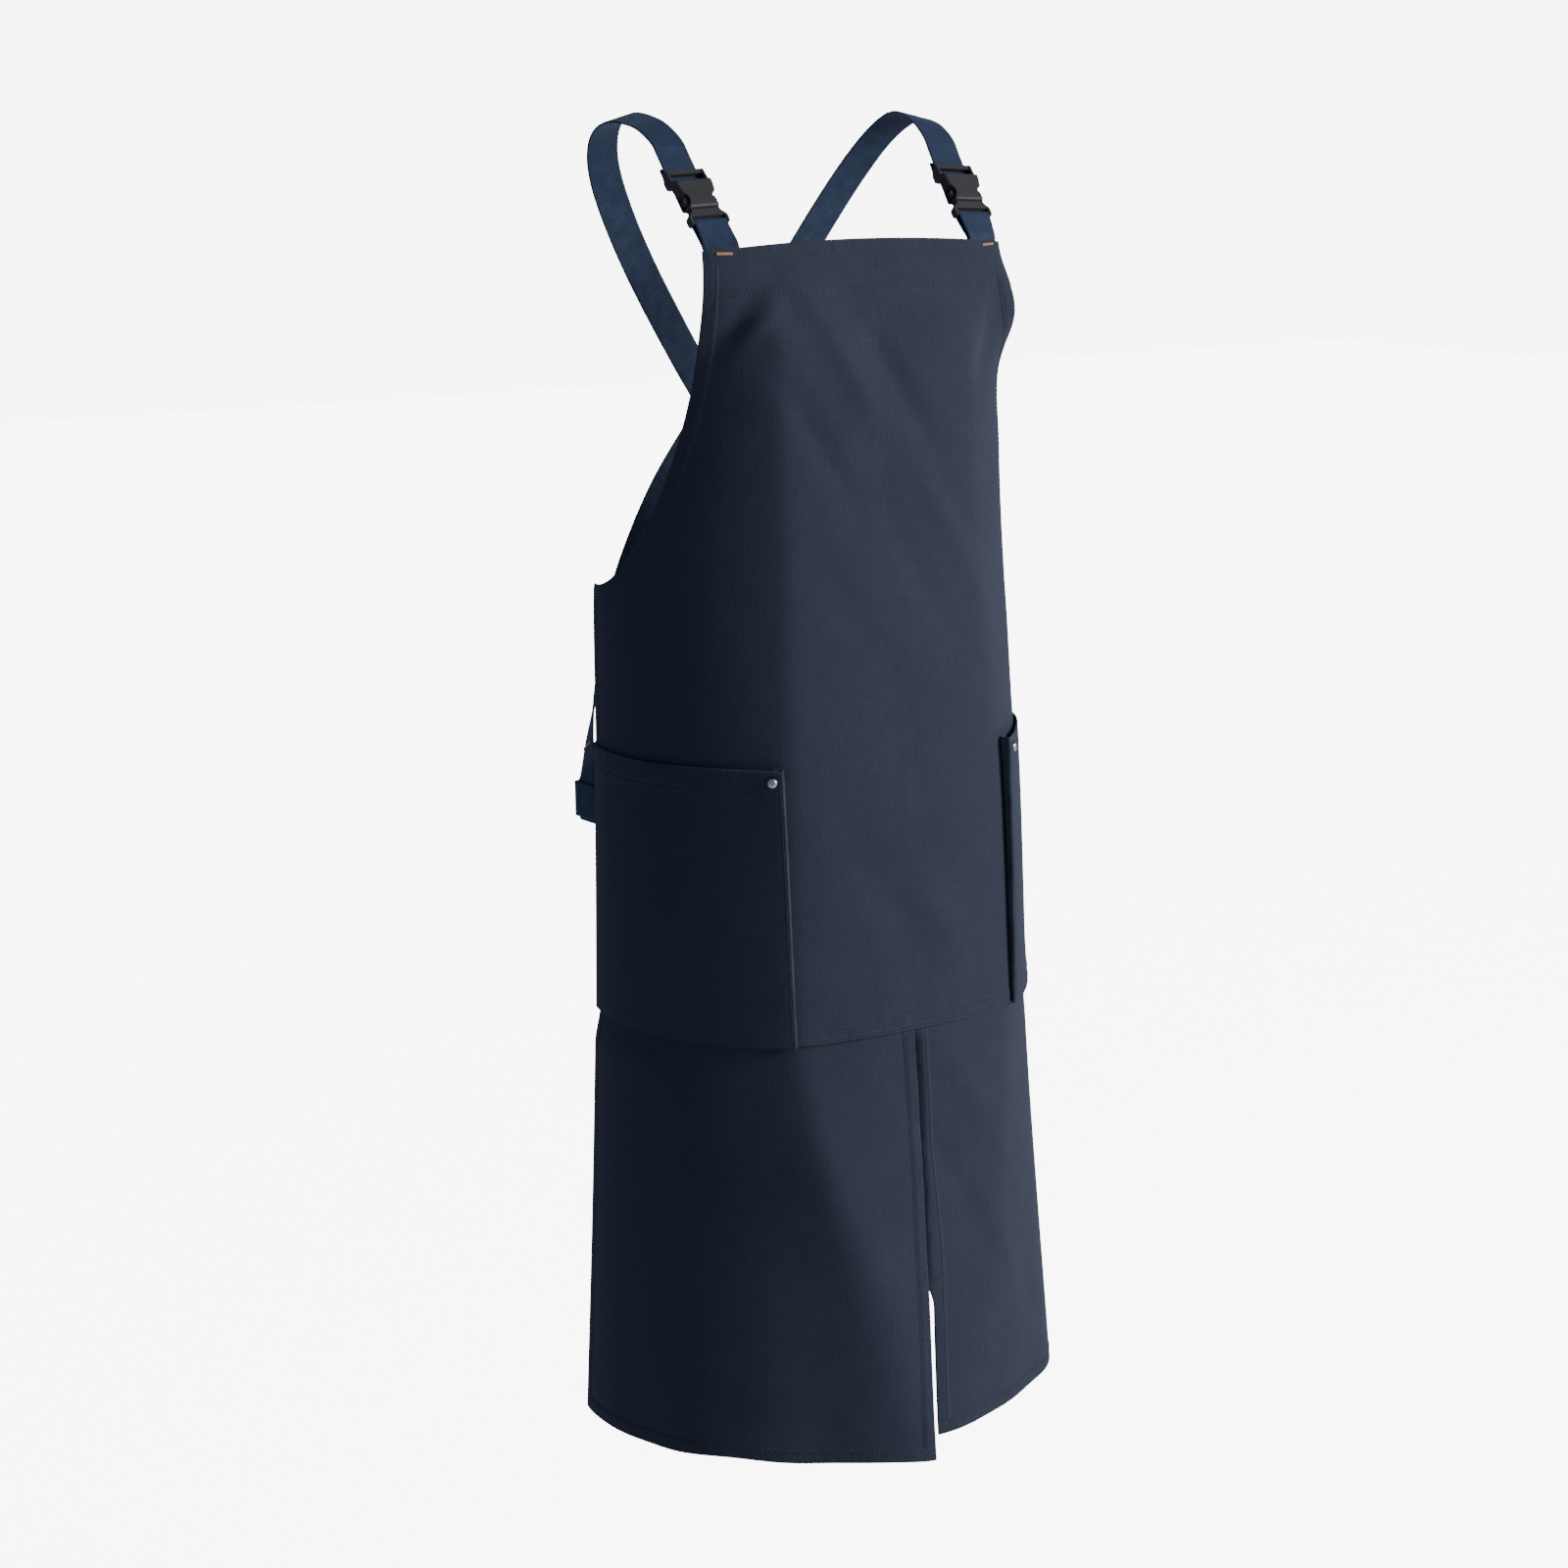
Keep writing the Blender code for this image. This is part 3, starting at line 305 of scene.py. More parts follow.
def border_distance(s, z, border):
    """Distance of each flat place from a line of flat places."""
    p = np.stack([s.ravel(), z.ravel()], -1)[:, None]
    a, b = border[:-1][None], border[1:][None]
    ab = b - a
    t = np.clip(((p - a) * ab).sum(-1) / np.maximum((ab**2).sum(-1), 1e-12), 0, 1)
    return np.sqrt((((p - a - ab * t[..., None]) ** 2).sum(-1)).min(1)).reshape(s.shape)


# ---------------------------------------------------------------- materials


class Nodes:
    """Short calls for building one material's node tree."""

    def __init__(self, name):
        self.material = bpy.data.materials.new(name)
        self.material.use_nodes = True
        self.tree = self.material.node_tree
        self.shader = self.tree.nodes["Principled BSDF"]

    def set(self, **values):
        for key, value in values.items():
            self.shader.inputs[key.replace("_", " ")].default_value = value

    def link(self, source, target):
        self.tree.links.new(source, target)

    def add(self, kind, settings=None, **inputs):
        node = self.tree.nodes.new("ShaderNode" + kind)
        for key, value in (settings or {}).items():
            setattr(node, key, value)
        for key, value in inputs.items():
            socket = node.inputs[int(key[1:])] if key[0] == "i" and key[1:].isdigit() else None
            socket = socket or node.inputs[key.replace("_", " ")]
            if isinstance(value, bpy.types.NodeSocket):
                self.link(value, socket)
            else:
                socket.default_value = value
        return node

    def math(self, operation, a, b=0.0, clamp=False):
        settings = {"operation": operation, "use_clamp": clamp}
        return self.add("Math", settings, i0=a, i1=b).outputs[0]

    def noise(self, vector, scale, detail=3.0, roughness=0.55):
        found = self.add("TexNoise", Vector=vector, Scale=scale, Detail=detail, Roughness=roughness)
        return found.outputs["Fac"]

    def span(self, value, low, high, to_low, to_high):
        node = self.add("MapRange", Value=value)
        for key, number in (
            ("From Min", low),
            ("From Max", high),
            ("To Min", to_low),
            ("To Max", to_high),
        ):
            node.inputs[key].default_value = number
        return node.outputs["Result"]

    def stretched(self, vector, x, y, z=1.0):
        return self.add("Mapping", Vector=vector, Scale=(x, y, z)).outputs["Vector"]

    def mix(self, factor, a, b):
        node = self.add("Mix", {"data_type": "RGBA"})
        for socket, value in ((node.inputs[0], factor), (node.inputs[6], a), (node.inputs[7], b)):
            if isinstance(value, bpy.types.NodeSocket):
                self.link(value, socket)
            else:
                socket.default_value = value
        return node.outputs[2]

    def wave(self, vector, scale, direction):
        settings = {"wave_type": "BANDS", "bands_direction": direction}
        return self.add("TexWave", settings, Vector=vector, Scale=scale).outputs["Fac"]

    def bump(self, height, distance, strength=1.0, normal=None):
        node = self.add("Bump", Strength=strength, Distance=distance, Height=height)
        if normal is not None:
            self.link(normal, node.inputs["Normal"])
        return node.outputs["Normal"]


def canvas_material():
    """Dyed plain-weave canvas: uneven yarns, soft mottling, hems pressed flat and worn pale."""
    n = Nodes("canvas")
    uv = n.add("UVMap").outputs["UV"]
    place_3d = n.add("TexCoord").outputs["Object"]
    edge = n.add("Attribute", {"attribute_name": "edge"}).outputs["Fac"]
    warp = n.noise(n.stretched(uv, 1500, 60), 1.0, 2.0)
    weft = n.noise(n.stretched(uv, 55, 1400), 1.0, 2.0)
    yarns = n.math("ADD", n.math("MULTIPLY", warp, 0.55), n.math("MULTIPLY", weft, 0.45))
    mottle = n.noise(place_3d, 22.0, 4.0, 0.6)
    haze = n.noise(place_3d, 5.0, 2.0, 0.5)
    tone = n.math("ADD", n.span(yarns, 0.3, 0.7, -0.20, 0.20), n.span(mottle, 0.3, 0.7, -0.12, 0.12))
    tone = n.math("ADD", tone, n.span(haze, 0.3, 0.7, -0.05, 0.05))
    tone = n.math("ADD", tone, 0.5, clamp=True)
    cloth = n.mix(tone, CANVAS_DEEP, CANVAS_PALE)
    rub = n.math("MULTIPLY", n.span(edge, 0.0, 1.6 * MM, 1.0, 0.0), n.span(mottle, 0.42, 0.66, 0.0, 0.55))
    n.link(n.mix(rub, cloth, CANVAS_WORN), n.shader.inputs["Base Color"])
    n.link(n.span(yarns, 0.3, 0.7, 0.94, 0.80), n.shader.inputs["Roughness"])
    n.set(Sheen_Weight=0.10, Sheen_Roughness=0.45, Sheen_Tint=(0.70, 0.80, 1.0, 1.0))
    n.set(Specular_IOR_Level=0.25)
    weave = n.math("MULTIPLY", n.wave(uv, 1 / (20 * 0.62 * MM), "X"), n.wave(uv, 1 / (20 * 0.70 * MM), "Y"))
    weave = n.math("ADD", n.math("MULTIPLY", weave, 0.5), yarns)
    pressed = n.add("ValToRGB", Fac=n.math("DIVIDE", edge, 0.030))
    ramp = pressed.color_ramp
    stops = ((0.0, 0.35), (0.03, 0.75), (0.24, 0.72), (0.275, 0.35), (0.31, 0.66), (0.335, 0.55), (0.38, 0.0))
    while len(ramp.elements) < len(stops):
        ramp.elements.new(0.5)
    for element, (at, level) in zip(ramp.elements, stops):
        element.position, element.color = at, (level, level, level, 1.0)
    pucker = n.noise(n.stretched(place_3d, 1, 1, 1), 130.0, 2.0)
    near = n.span(edge, 5 * MM, 16 * MM, 1.0, 0.0)
    pucker = n.math("MULTIPLY", n.math("SUBTRACT", pucker, 0.5), near)
    relief = n.math("ADD", pressed.outputs["Color"], n.math("MULTIPLY", pucker, 0.9))
    normal = n.bump(relief, 0.9 * MM)
    normal = n.bump(n.noise(place_3d, 60.0, 3.0), 0.5 * MM, 0.6, normal)
    n.link(n.bump(weave, 0.10 * MM, 0.8, normal), n.shader.inputs["Normal"])
    return n.material


def webbing_material():
    """Tight webbing: ribs along it, a herringbone weave between them and firm selvedges."""
    n = Nodes("webbing")
    uv = n.add("UVMap").outputs["UV"]
    split = n.add("SeparateXYZ", Vector=uv)
    across, along = split.outputs["X"], split.outputs["Y"]
    rib = n.math("PINGPONG", across, 1.05 * MM)
    slanted = n.math("ADD", along, n.math("MULTIPLY", rib, 0.8))
    twill = n.math("SINE", n.math("MULTIPLY", slanted, 2 * math.pi / (1.0 * MM)))
    ribs = n.math("SINE", n.math("MULTIPLY", across, 2 * math.pi / (2.1 * MM)))
    place_3d = n.add("TexCoord").outputs["Object"]
    mottle = n.noise(place_3d, 90.0, 4.0, 0.65)
    fibres = n.noise(n.stretched(uv, 1800, 120), 1.0, 2.0)
    tone = n.math("ADD", n.span(mottle, 0.3, 0.7, 0.28, 0.72), n.math("MULTIPLY", twill, 0.16))
    tone = n.math("ADD", tone, n.span(fibres, 0.3, 0.7, -0.10, 0.10), clamp=True)
    n.link(n.mix(tone, WEBBING_DEEP, WEBBING_PALE), n.shader.inputs["Base Color"])
    n.link(n.span(mottle, 0.3, 0.7, 0.78, 0.62), n.shader.inputs["Roughness"])
    n.set(Sheen_Weight=0.15, Sheen_Roughness=0.4, Sheen_Tint=(0.6, 0.75, 1.0, 1.0))
    n.set(Specular_IOR_Level=0.35)
    height = n.math("ADD", n.math("MULTIPLY", ribs, 0.5), n.math("MULTIPLY", twill, 0.35))
    height = n.math("ADD", height, n.math("MULTIPLY", fibres, 0.5))
    n.link(n.bump(height, 0.16 * MM, 0.9), n.shader.inputs["Normal"])
    return n.material


def plastic_material():
    """Moulded acetal: fine spark-eroded grain, faint flow marks, rubbed a little glossier."""
    n = Nodes("buckle_plastic")
    place_3d = n.add("TexCoord").outputs["Object"]
    grain = n.noise(place_3d, 2600.0, 2.0)
    flow = n.noise(n.stretched(place_3d, 60, 60, 160), 1.0, 3.0)
    n.link(n.mix(n.span(flow, 0.3, 0.7, 0.2, 0.8), PLASTIC_DEEP, PLASTIC_PALE), n.shader.inputs["Base Color"])
    n.link(n.span(flow, 0.3, 0.7, 0.64, 0.52), n.shader.inputs["Roughness"])
    n.set(Specular_IOR_Level=0.36)
    scuff = n.noise(n.stretched(place_3d, 300, 300, 1400), 1.0, 2.0)
    normal = n.bump(grain, 0.05 * MM, 0.5)
    n.link(n.bump(scuff, 0.03 * MM, 0.4, normal), n.shader.inputs["Normal"])
    return n.material


def nickel_material(name, deep, pale, rough):
    """Plated metal with fine turning marks and dull patches."""
    n = Nodes(name)
    place_3d = n.add("TexCoord").outputs["Object"]
    patches = n.noise(place_3d, 700.0, 4.0, 0.6)
    n.link(n.mix(n.span(patches, 0.35, 0.7, 0.0, 1.0), pale, deep), n.shader.inputs["Base Color"])
    n.link(n.span(patches, 0.35, 0.7, rough, rough + 0.22), n.shader.inputs["Roughness"])
    n.set(Metallic=1.0)
    n.link(n.bump(n.noise(place_3d, 3500.0, 2.0), 0.03 * MM, 0.5), n.shader.inputs["Normal"])
    return n.material


def thread_material(name, deep, pale):
    """Spun thread: a slanting twist along each stitch, with a soft sheen."""
    n = Nodes(name)
    uv = n.add("UVMap").outputs["UV"]
    split = n.add("SeparateXYZ", Vector=uv)
    turn = n.math("ADD", split.outputs["Y"], n.math("MULTIPLY", split.outputs["X"], 0.6))
    twist = n.math("SINE", n.math("MULTIPLY", turn, 2 * math.pi / (0.45 * MM)))
    fuzz = n.noise(n.add("TexCoord").outputs["Object"], 2500.0, 2.0)
    tone = n.math("ADD", n.span(fuzz, 0.3, 0.7, 0.3, 0.7), n.math("MULTIPLY", twist, 0.25), clamp=True)
    n.link(n.mix(tone, deep, pale), n.shader.inputs["Base Color"])
    n.link(n.span(fuzz, 0.3, 0.7, 0.7, 0.5), n.shader.inputs["Roughness"])
    n.set(Sheen_Weight=0.2, Sheen_Roughness=0.4)
    n.link(n.bump(twist, 0.05 * MM, 0.7), n.shader.inputs["Normal"])
    return n.material


CANVAS_DEEP = (0.0190, 0.0250, 0.0430, 1.0)
CANVAS_PALE = (0.0390, 0.0455, 0.0705, 1.0)
CANVAS_WORN = (0.0900, 0.1050, 0.1400, 1.0)
WEBBING_DEEP = (0.0095, 0.0200, 0.0500, 1.0)
WEBBING_PALE = (0.0240, 0.0480, 0.1060, 1.0)
PLASTIC_DEEP = (0.0300, 0.0285, 0.0310, 1.0)
PLASTIC_PALE = (0.0480, 0.0450, 0.0490, 1.0)

CANVAS_CLOTH = canvas_material()
WEBBING_CLOTH = webbing_material()
PLASTIC = plastic_material()
NICKEL = nickel_material("worn_nickel", (0.42, 0.40, 0.38, 1), (0.75, 0.74, 0.72, 1), 0.22)
# near-black metal for the ring painted as shade round each rivet cap
RIVET_SHADE_METAL = nickel_material("rivet_shade_metal", (0.05, 0.05, 0.05, 1), (0.14, 0.13, 0.13, 1), 0.35)
NAVY_THREAD = thread_material("navy_thread", (0.022, 0.030, 0.048, 1), (0.048, 0.060, 0.092, 1))
TAN_THREAD = thread_material("tan_thread", (0.55, 0.25, 0.10, 1), (0.85, 0.52, 0.28, 1))


# ---------------------------------------------------------------- the body cloth


def column_places(count, low, high, fine=(0, 0.2, 0.6, 1.2, 2.2, 4, 6, 8, 10, 12)):
    """Lengths from low to high with closer columns beside both edges; arrays broadcast."""
    steps = np.array(fine) * MM
    inner = np.linspace(0.0, 1.0, count + 2)[1:-1]
    first = low[:, None] + steps
    last = high[:, None] - steps[::-1]
    start, end = first[:, -1:], last[:, :1]
    return np.concatenate([first, start + (end - start) * inner, last], 1)


def rounded(distance, radius=0.6 * MM):
    """How far a cloth's face turns in beside its border."""
    d = np.clip(distance / radius, 0.0, 1.0)
    return radius * (1.0 - np.sqrt(np.maximum(0.0, 1.0 - (1.0 - d) ** 2)))


def body_border():
    """The bib's top edge, armholes and sides as one line of flat places."""
    heights = np.concatenate(
        [BIB_TOP + (WAIST_CORNER - BIB_TOP) * (1 - (1 - np.linspace(0, 1, 160)) ** 2.2)]
    )
    edge = np.stack([half_width_at(heights), heights], -1)
    edge = np.vstack([edge, [WAIST_HALF, WAIST_CORNER], [SEAM_HALF, HIP_SEAM]])
    flip = edge[::-1] * (-1, 1)
    return np.vstack([flip, edge])


def make_body():
    border = body_border()
    top = np.array([0, 0.2, 0.6, 1.2, 2.2]) * MM
    arm = np.linspace(0.0, 1.0, 400)
    heights = BIB_TOP + (WAIST_CORNER - BIB_TOP) * arm
    length = np.concatenate(
        [[0], np.cumsum(np.hypot(np.diff(heights), np.diff(half_width_at(heights))))]
    )
    upper = np.interp(np.linspace(0.004, length[-1], 110), length, heights)
    lower = np.linspace(WAIST_CORNER, HIP_SEAM + 2.2 * MM, 84)[1:]
    rows = np.concatenate([BIB_TOP - top, upper[upper < BIB_TOP - 3 * MM], lower, HIP_SEAM + top[::-1]])
    half = half_width_at(rows)
    s = column_places(128, -half, half)
    z = rows[:, None] + np.zeros_like(s)
    edge = border_distance(s, z, border)
    below = z - HIP_SEAM
    lift = folds(s, z)
    hem = 1 - blend01(edge, HEM_WIDTH - 1.0 * MM, HEM_WIDTH + 0.6 * MM)
    drop = BIB_TOP - z
    band = 1 - blend01(drop, FACING_DEPTH - 1.0 * MM, FACING_DEPTH + 0.8 * MM)
    stitch = hump(drop, FACING_DEPTH - 0.5 * MM, 1.6 * MM) * (edge > 6 * MM)
    ripple = np.sin(s * 240 + 3.5 * np.sin(s * 57)) * (0.6 + 0.4 * np.sin(s * 91 + 1))
    ripple *= hump(drop, FACING_DEPTH, 6 * MM)
    quilt = np.sin(s * 270 + 4 * np.sin(s * 41)) * hump(below, 8 * MM, 3.5 * MM)
    sewn = 1 - blend01(below, 12.0 * MM, 14.0 * MM)
    out = lift + 0.15 * MM * hem + 0.35 * MM * band - 0.5 * MM * stitch + 0.16 * MM * ripple + 0.18 * MM * quilt
    out += 0.3 * MM * sewn - 0.35 * MM * hump(below, 12.6 * MM, 1.2 * MM)
    turn_in = rounded(np.minimum(edge, np.abs(below)))
    at = z + arch_at(s, z)
    outer = place(s, at, out - turn_in)
    inner = place(s, at, lift - CANVAS - 0.15 * MM * hem + turn_in * 0.6)
    points, faces = closed_sheet(outer, inner)
    mark = np.minimum(edge, np.maximum(below, 0.0) * 0.8 + 0.2 * MM)
    uv = np.stack([s, z], -1).reshape(-1, 2)
    cloth = add_mesh(
        "apron_cloth", points, faces, CANVAS_CLOTH, np.tile(uv, (2, 1)), {"edge": np.tile(mark.ravel(), 2)}
    )
    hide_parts("apron_body")
    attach(cloth, "apron")
    return cloth


def make_facing():
    """The turned-down hem behind the bib, bulging over the strap loops."""
    reach = BIB_HALF - 3 * MM
    drops = np.array([1.2, 1.5, 2.2, 4, 7, 11, 15, 19, 23, 27, 30, 31.4, 32]) * MM
    s = np.linspace(-reach, reach, 150)[None] + np.zeros((len(drops), 1))
    z = BIB_TOP - drops[:, None] + np.zeros_like(s)
    loop_s = 0.1145
    away = np.abs(np.abs(s) - loop_s)
    bulge = 1 - blend01(away, 14.5 * MM, 23 * MM)
    lift = folds(s, z) * (1 - bulge) + UNDER_SEAM - bulge * 6.6 * MM
    at = z + arch_at(s, z)
    edge = np.minimum(np.minimum(drops[:, None], (drops[-1] - drops)[:, None]), reach - np.abs(s))
    turn_in = rounded(edge)
    outer = place(s, at, lift - turn_in * 0.5)
    inner = place(s, at, lift - CANVAS + turn_in)
    points, faces = closed_sheet(outer, inner)
    uv = np.tile(np.stack([s, z], -1).reshape(-1, 2), (2, 1))
    thing = add_mesh(
        "bib_hem_facing", points, faces, CANVAS_CLOTH, uv, {"edge": np.tile(edge.ravel() + 2 * MM, 2)}
    )
    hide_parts("bib_facing")
    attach(thing, "apron")
    return thing


# ---------------------------------------------------------------- leg panels


def slit_line(z, sign):
    """Length round to the panel's folded slit edge. The left panel hangs in over the middle."""
    down = np.clip((HIP_SEAM - z) / (HIP_SEAM - HEM), 0.0, 1.0)
    if sign < 0:
        return (0.35 + 6.4 * blend01(down, 0.12, 0.80) + 5.5 * blend01(down, 0.6, 1.0)) * MM
    return (0.35 + 2.0 * hump(down, 0.55, 0.16) - 3.2 * blend01(down, 0.64, 1.05)) * MM


def tuck(z):
    """How far the left panel's turned-in edge reaches behind the right panel, 0 to 1."""
    down = np.clip((HIP_SEAM - z) / (HIP_SEAM - HEM), 0.0, 1.0)
    return blend01(down, 0.0, 0.03) * (1 - blend01(down, 0.56, 0.68))


def panel_start(z, sign):
    start = slit_line(z, sign)
    if sign > 0:
        start = start - (start + slit_line(z, -1.0) + 4 * MM) * tuck(z)
    return start


def own_side(s, sign):
    """Where a panel crosses the middle it keeps the folds of its own side."""
    return sign * np.maximum(s * sign, 0.1 * MM)


def panel_lift(s, z, sign):
    lift = folds(own_side(s, sign), z) + UNDER_SEAM
    if sign > 0:
        past = s + slit_line(z, -1.0)
        lift = lift - 4.5 * MM * tuck(z) * (1 - blend01(past, -1 * MM, 7 * MM))
    return lift


def make_leg_panel(side, sign):
    rows = np.concatenate(
        [
            [HIP_SEAM + 12 * MM, HIP_SEAM + 6 * MM, HIP_SEAM + 1 * MM],
            np.linspace(HIP_SEAM - 1 * MM, HEM + 13 * MM, 100),
            HEM + np.array([12, 11, 10, 9, 8, 6, 4, 2.2, 1.2, 0.6, 0.2, 0.0]) * MM,
        ]
    )
    low = panel_start(rows, sign)
    high = half_width_at(np.minimum(rows, HIP_SEAM))
    away = column_places(84, low, high)
    s = away * sign
    z = rows[:, None] + np.zeros_like(s)
    edge = np.minimum(away - low[:, None], high[:, None] - away)
    edge = np.minimum(edge, z - HEM)
    turn_in = rounded(edge)
    inward = away - slit_line(rows, sign)[:, None]
    inward = np.where(inward < 0, 2 * MM - inward, inward)
    edge = np.minimum(inward, np.minimum(high[:, None] - away, z - HEM))
    hem = 1 - blend01(edge, HEM_WIDTH - 1.0 * MM, HEM_WIDTH + 0.6 * MM)
    lift = panel_lift(s, z, sign)
    below = np.where(z > HIP_SEAM, 0.0, 1.0)
    at = z + hem_rise(own_side(s, sign), z)
    outer = place(s, at, lift + (0.15 * MM * hem - turn_in) * below)
    inner = place(s, at, lift - CANVAS - 0.15 * MM * hem * below + turn_in * 0.6)
    points, faces = closed_sheet(outer, inner)
    uv = np.tile(np.stack([s, z], -1).reshape(-1, 2), (2, 1))
    name = "leg_panel_" + side
    thing = add_mesh("leg_cloth_" + side, points, faces, CANVAS_CLOTH, uv, {"edge": np.tile(edge.ravel(), 2)})
    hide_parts(name)
    bend_with_leg(thing)
    return thing


def bend_with_leg(thing):
    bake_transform(thing)


# ---------------------------------------------------------------- pockets

POCKET_INNER = 0.0970
POCKET_MARGIN = 4 * MM
POCKET_STAND_TOP = 7.5 * MM
POCKET_STAND_SEAM = 2.6 * MM
POCKET_HEM = 17 * MM
RIVET_PLACE = (POCKET_INNER + 7.5 * MM, POCKET_TOP - 8.5 * MM)


def pocket_section(z, count=44):
    """Places (s, lift) of the pocket cloth's middle at a height, from its side to its inner fold."""
    t = np.clip((z - HIP_SEAM) / (POCKET_TOP - HIP_SEAM), 0.0, 1.0) ** 0.7
    stand = POCKET_STAND_SEAM + (POCKET_STAND_TOP - POCKET_STAND_SEAM) * t
    side = float(half_width_at(z)) - POCKET_MARGIN
    q = np.concatenate([[0, 0.002, 0.006, 0.014], np.linspace(0.03, 0.985, count), [0.992]])
    rise = 0.92 * q**5.5 + 0.08 * blend01(q, 0.0, 0.25)
    s = side + (POCKET_INNER - side) * q
    lift = SEWN_GAP + (stand - SEWN_GAP) * rise + CANVAS / 2
    lift += 1.0 * MM * hump(s, RIVET_PLACE[0], 14 * MM) * hump(z, RIVET_PLACE[1], 18 * MM)
    low = SEWN_GAP + CANVAS * 0.5
    corner = np.array([(0.0, 0.0), (0.55, -0.20), (0.75, -0.60), (0.80, -1.1)]) * MM
    fold_s = POCKET_INNER + 0.0 * MM - corner[:, 0] + 0.8 * MM
    fold_lift = lift[-1] + corner[:, 1]
    under_s = POCKET_INNER + np.array([0.05, 0.6, 2.0, 5.0, 8.0]) * MM
    under_lift = np.array([low + 0.7 * MM, low, low, low, low])
    under_lift = np.minimum(under_lift, fold_lift[-1] - 0.3 * MM)
    return np.concatenate([s, fold_s, under_s]), np.concatenate([lift, fold_lift, under_lift])


def make_pocket(side, sign):
    rows = np.concatenate(
        [
            POCKET_TOP - np.array([0, 0.2, 0.6, 1.2, 2.2, 4, 7, 10, 13, 15, 16, 17, 18, 19, 21]) * MM,
            np.linspace(POCKET_TOP - 24 * MM, HIP_SEAM + 3 * MM, 56),
            HIP_SEAM + np.array([2, 1, 0.4, 0.0]) * MM,
        ]
    )
    grid_s, grid_lift = zip(*(pocket_section(z) for z in rows))
    s, lift = np.array(grid_s), np.array(grid_lift)
    z = rows[:, None] + np.zeros_like(s)
    ds, dl = np.gradient(s, axis=1), np.gradient(lift, axis=1)
    size = np.hypot(ds, dl)
    out_s, out_lift = dl / size, -ds / size
    drop = POCKET_TOP - z
    turned = 1 - blend01(drop, POCKET_HEM - 0.6 * MM, POCKET_HEM + 0.8 * MM)
    groove = hump(drop, POCKET_HEM - 1.5 * MM, 1.2 * MM)
    ripple = 0.12 * MM * np.sin(s * 300 + 3 * np.sin(s * 61)) * hump(drop, POCKET_HEM, 5 * MM)
    thick = CANVAS / 2 - rounded(drop)
    face = thick + 0.25 * MM * turned - 0.3 * MM * groove
    back = thick * (1 - 0.3 * (lift < 2 * MM))
    shared = folds(s * sign, z) + ripple
    outer = place((s + out_s * face) * sign, z, lift + out_lift * face + shared)
    inner = place((s - out_s * back) * sign, z, lift - out_lift * back + shared)
    if sign < 0:
        outer, inner = outer[:, ::-1], inner[:, ::-1]
        s, z, drop = s[:, ::-1], z[:, ::-1], drop[:, ::-1]
    points, faces = closed_sheet(outer, inner)
    around = np.abs(s - POCKET_INNER) + np.where(lift[:, ::int(sign)] > 2 * MM, 0.0, 8 * MM)
    fold = around + 28 * MM * blend01(around, 1.6 * MM, 3.2 * MM)
    edge = np.minimum(np.minimum(drop * 0.55, fold), 30 * MM)
    uv = np.tile(np.stack([s * sign + 0.3, z], -1).reshape(-1, 2), (2, 1))
    thing = add_mesh("pocket_cloth_" + side, points, faces, CANVAS_CLOTH, uv, {"edge": np.tile(edge.ravel(), 2)})
    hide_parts("pocket_" + side)
    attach(thing, "apron")
    return thing


def pocket_face(s, z):
    """Lift of the pocket's outer face at a place, for its wearer's-left twin."""
    grid_s, lift = pocket_section(z)
    return float(np.interp(-s, -grid_s[:48], lift[:48])) + CANVAS / 2 + float(folds(s, z))


# ---------------------------------------------------------------- webbing bands


def band_route(node):
    """The middle line of a CAD band and its unit directions across and out, point by point."""
    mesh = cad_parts[node].data
    raw = np.array([v.co for v in mesh.vertices])
    points, same = np.unique(np.round(raw, 6), axis=0, return_inverse=True)
    same = np.ravel(same)
    near = {i: set() for i in range(len(points))}
    for edge in mesh.edges:
        a, b = (int(same[v]) for v in edge.vertices)
        if a != b:
            near[a].add(b)
            near[b].add(a)
    thickness = 1.5 * MM
    partner = {}
    for i, others in near.items():
        best = min(others, key=lambda j: abs(np.linalg.norm(points[i] - points[j]) - thickness))
        partner[i] = best
    rims = [tuple(sorted((i, j))) for i, j in partner.items() if partner.get(j) == i]
    rims = sorted(set(rims))
    rim_of = {v: k for k, rim in enumerate(rims) for v in rim}
    middle = np.array([(points[a] + points[b]) / 2 for a, b in rims])
    touching = [
        {rim_of[j] for v in rim for j in near[v] if j in rim_of} - {k} for k, rim in enumerate(rims)
    ]
    width = 27.0 * MM
    sections, section_of = [], {}
    for k, others in enumerate(touching):
        if k in section_of or not others:
            continue
        twin = min(others, key=lambda m: abs(np.linalg.norm(middle[k] - middle[m]) - width))
        section_of[k] = section_of[twin] = len(sections)
        sections.append((k, twin))
    links = [set() for _ in sections]
    for n, pair in enumerate(sections):
        for k in pair:
            links[n] |= {section_of[m] for m in touching[k] if m in section_of} - {n}
    start = min(range(len(sections)), key=lambda n: (len(links[n]), n))
    order, seen = [start], {start}
    while True:
        following = [m for m in links[order[-1]] if m not in seen]
        if not following:
            break
        here = middle[list(sections[order[-1]])].mean(0)
        following.sort(key=lambda m: np.linalg.norm(middle[list(sections[m])].mean(0) - here))
        order.append(following[0])
        seen.add(following[0])
    centres, across = [], []
    for n in order:
        a, b = middle[sections[n][0]], middle[sections[n][1]]
        way = (b - a) / np.linalg.norm(b - a)
        if across and way @ across[-1] < 0:
            way = -way
        centres.append((a + b) / 2)
        across.append(way)
    return np.array(centres), np.array(across)


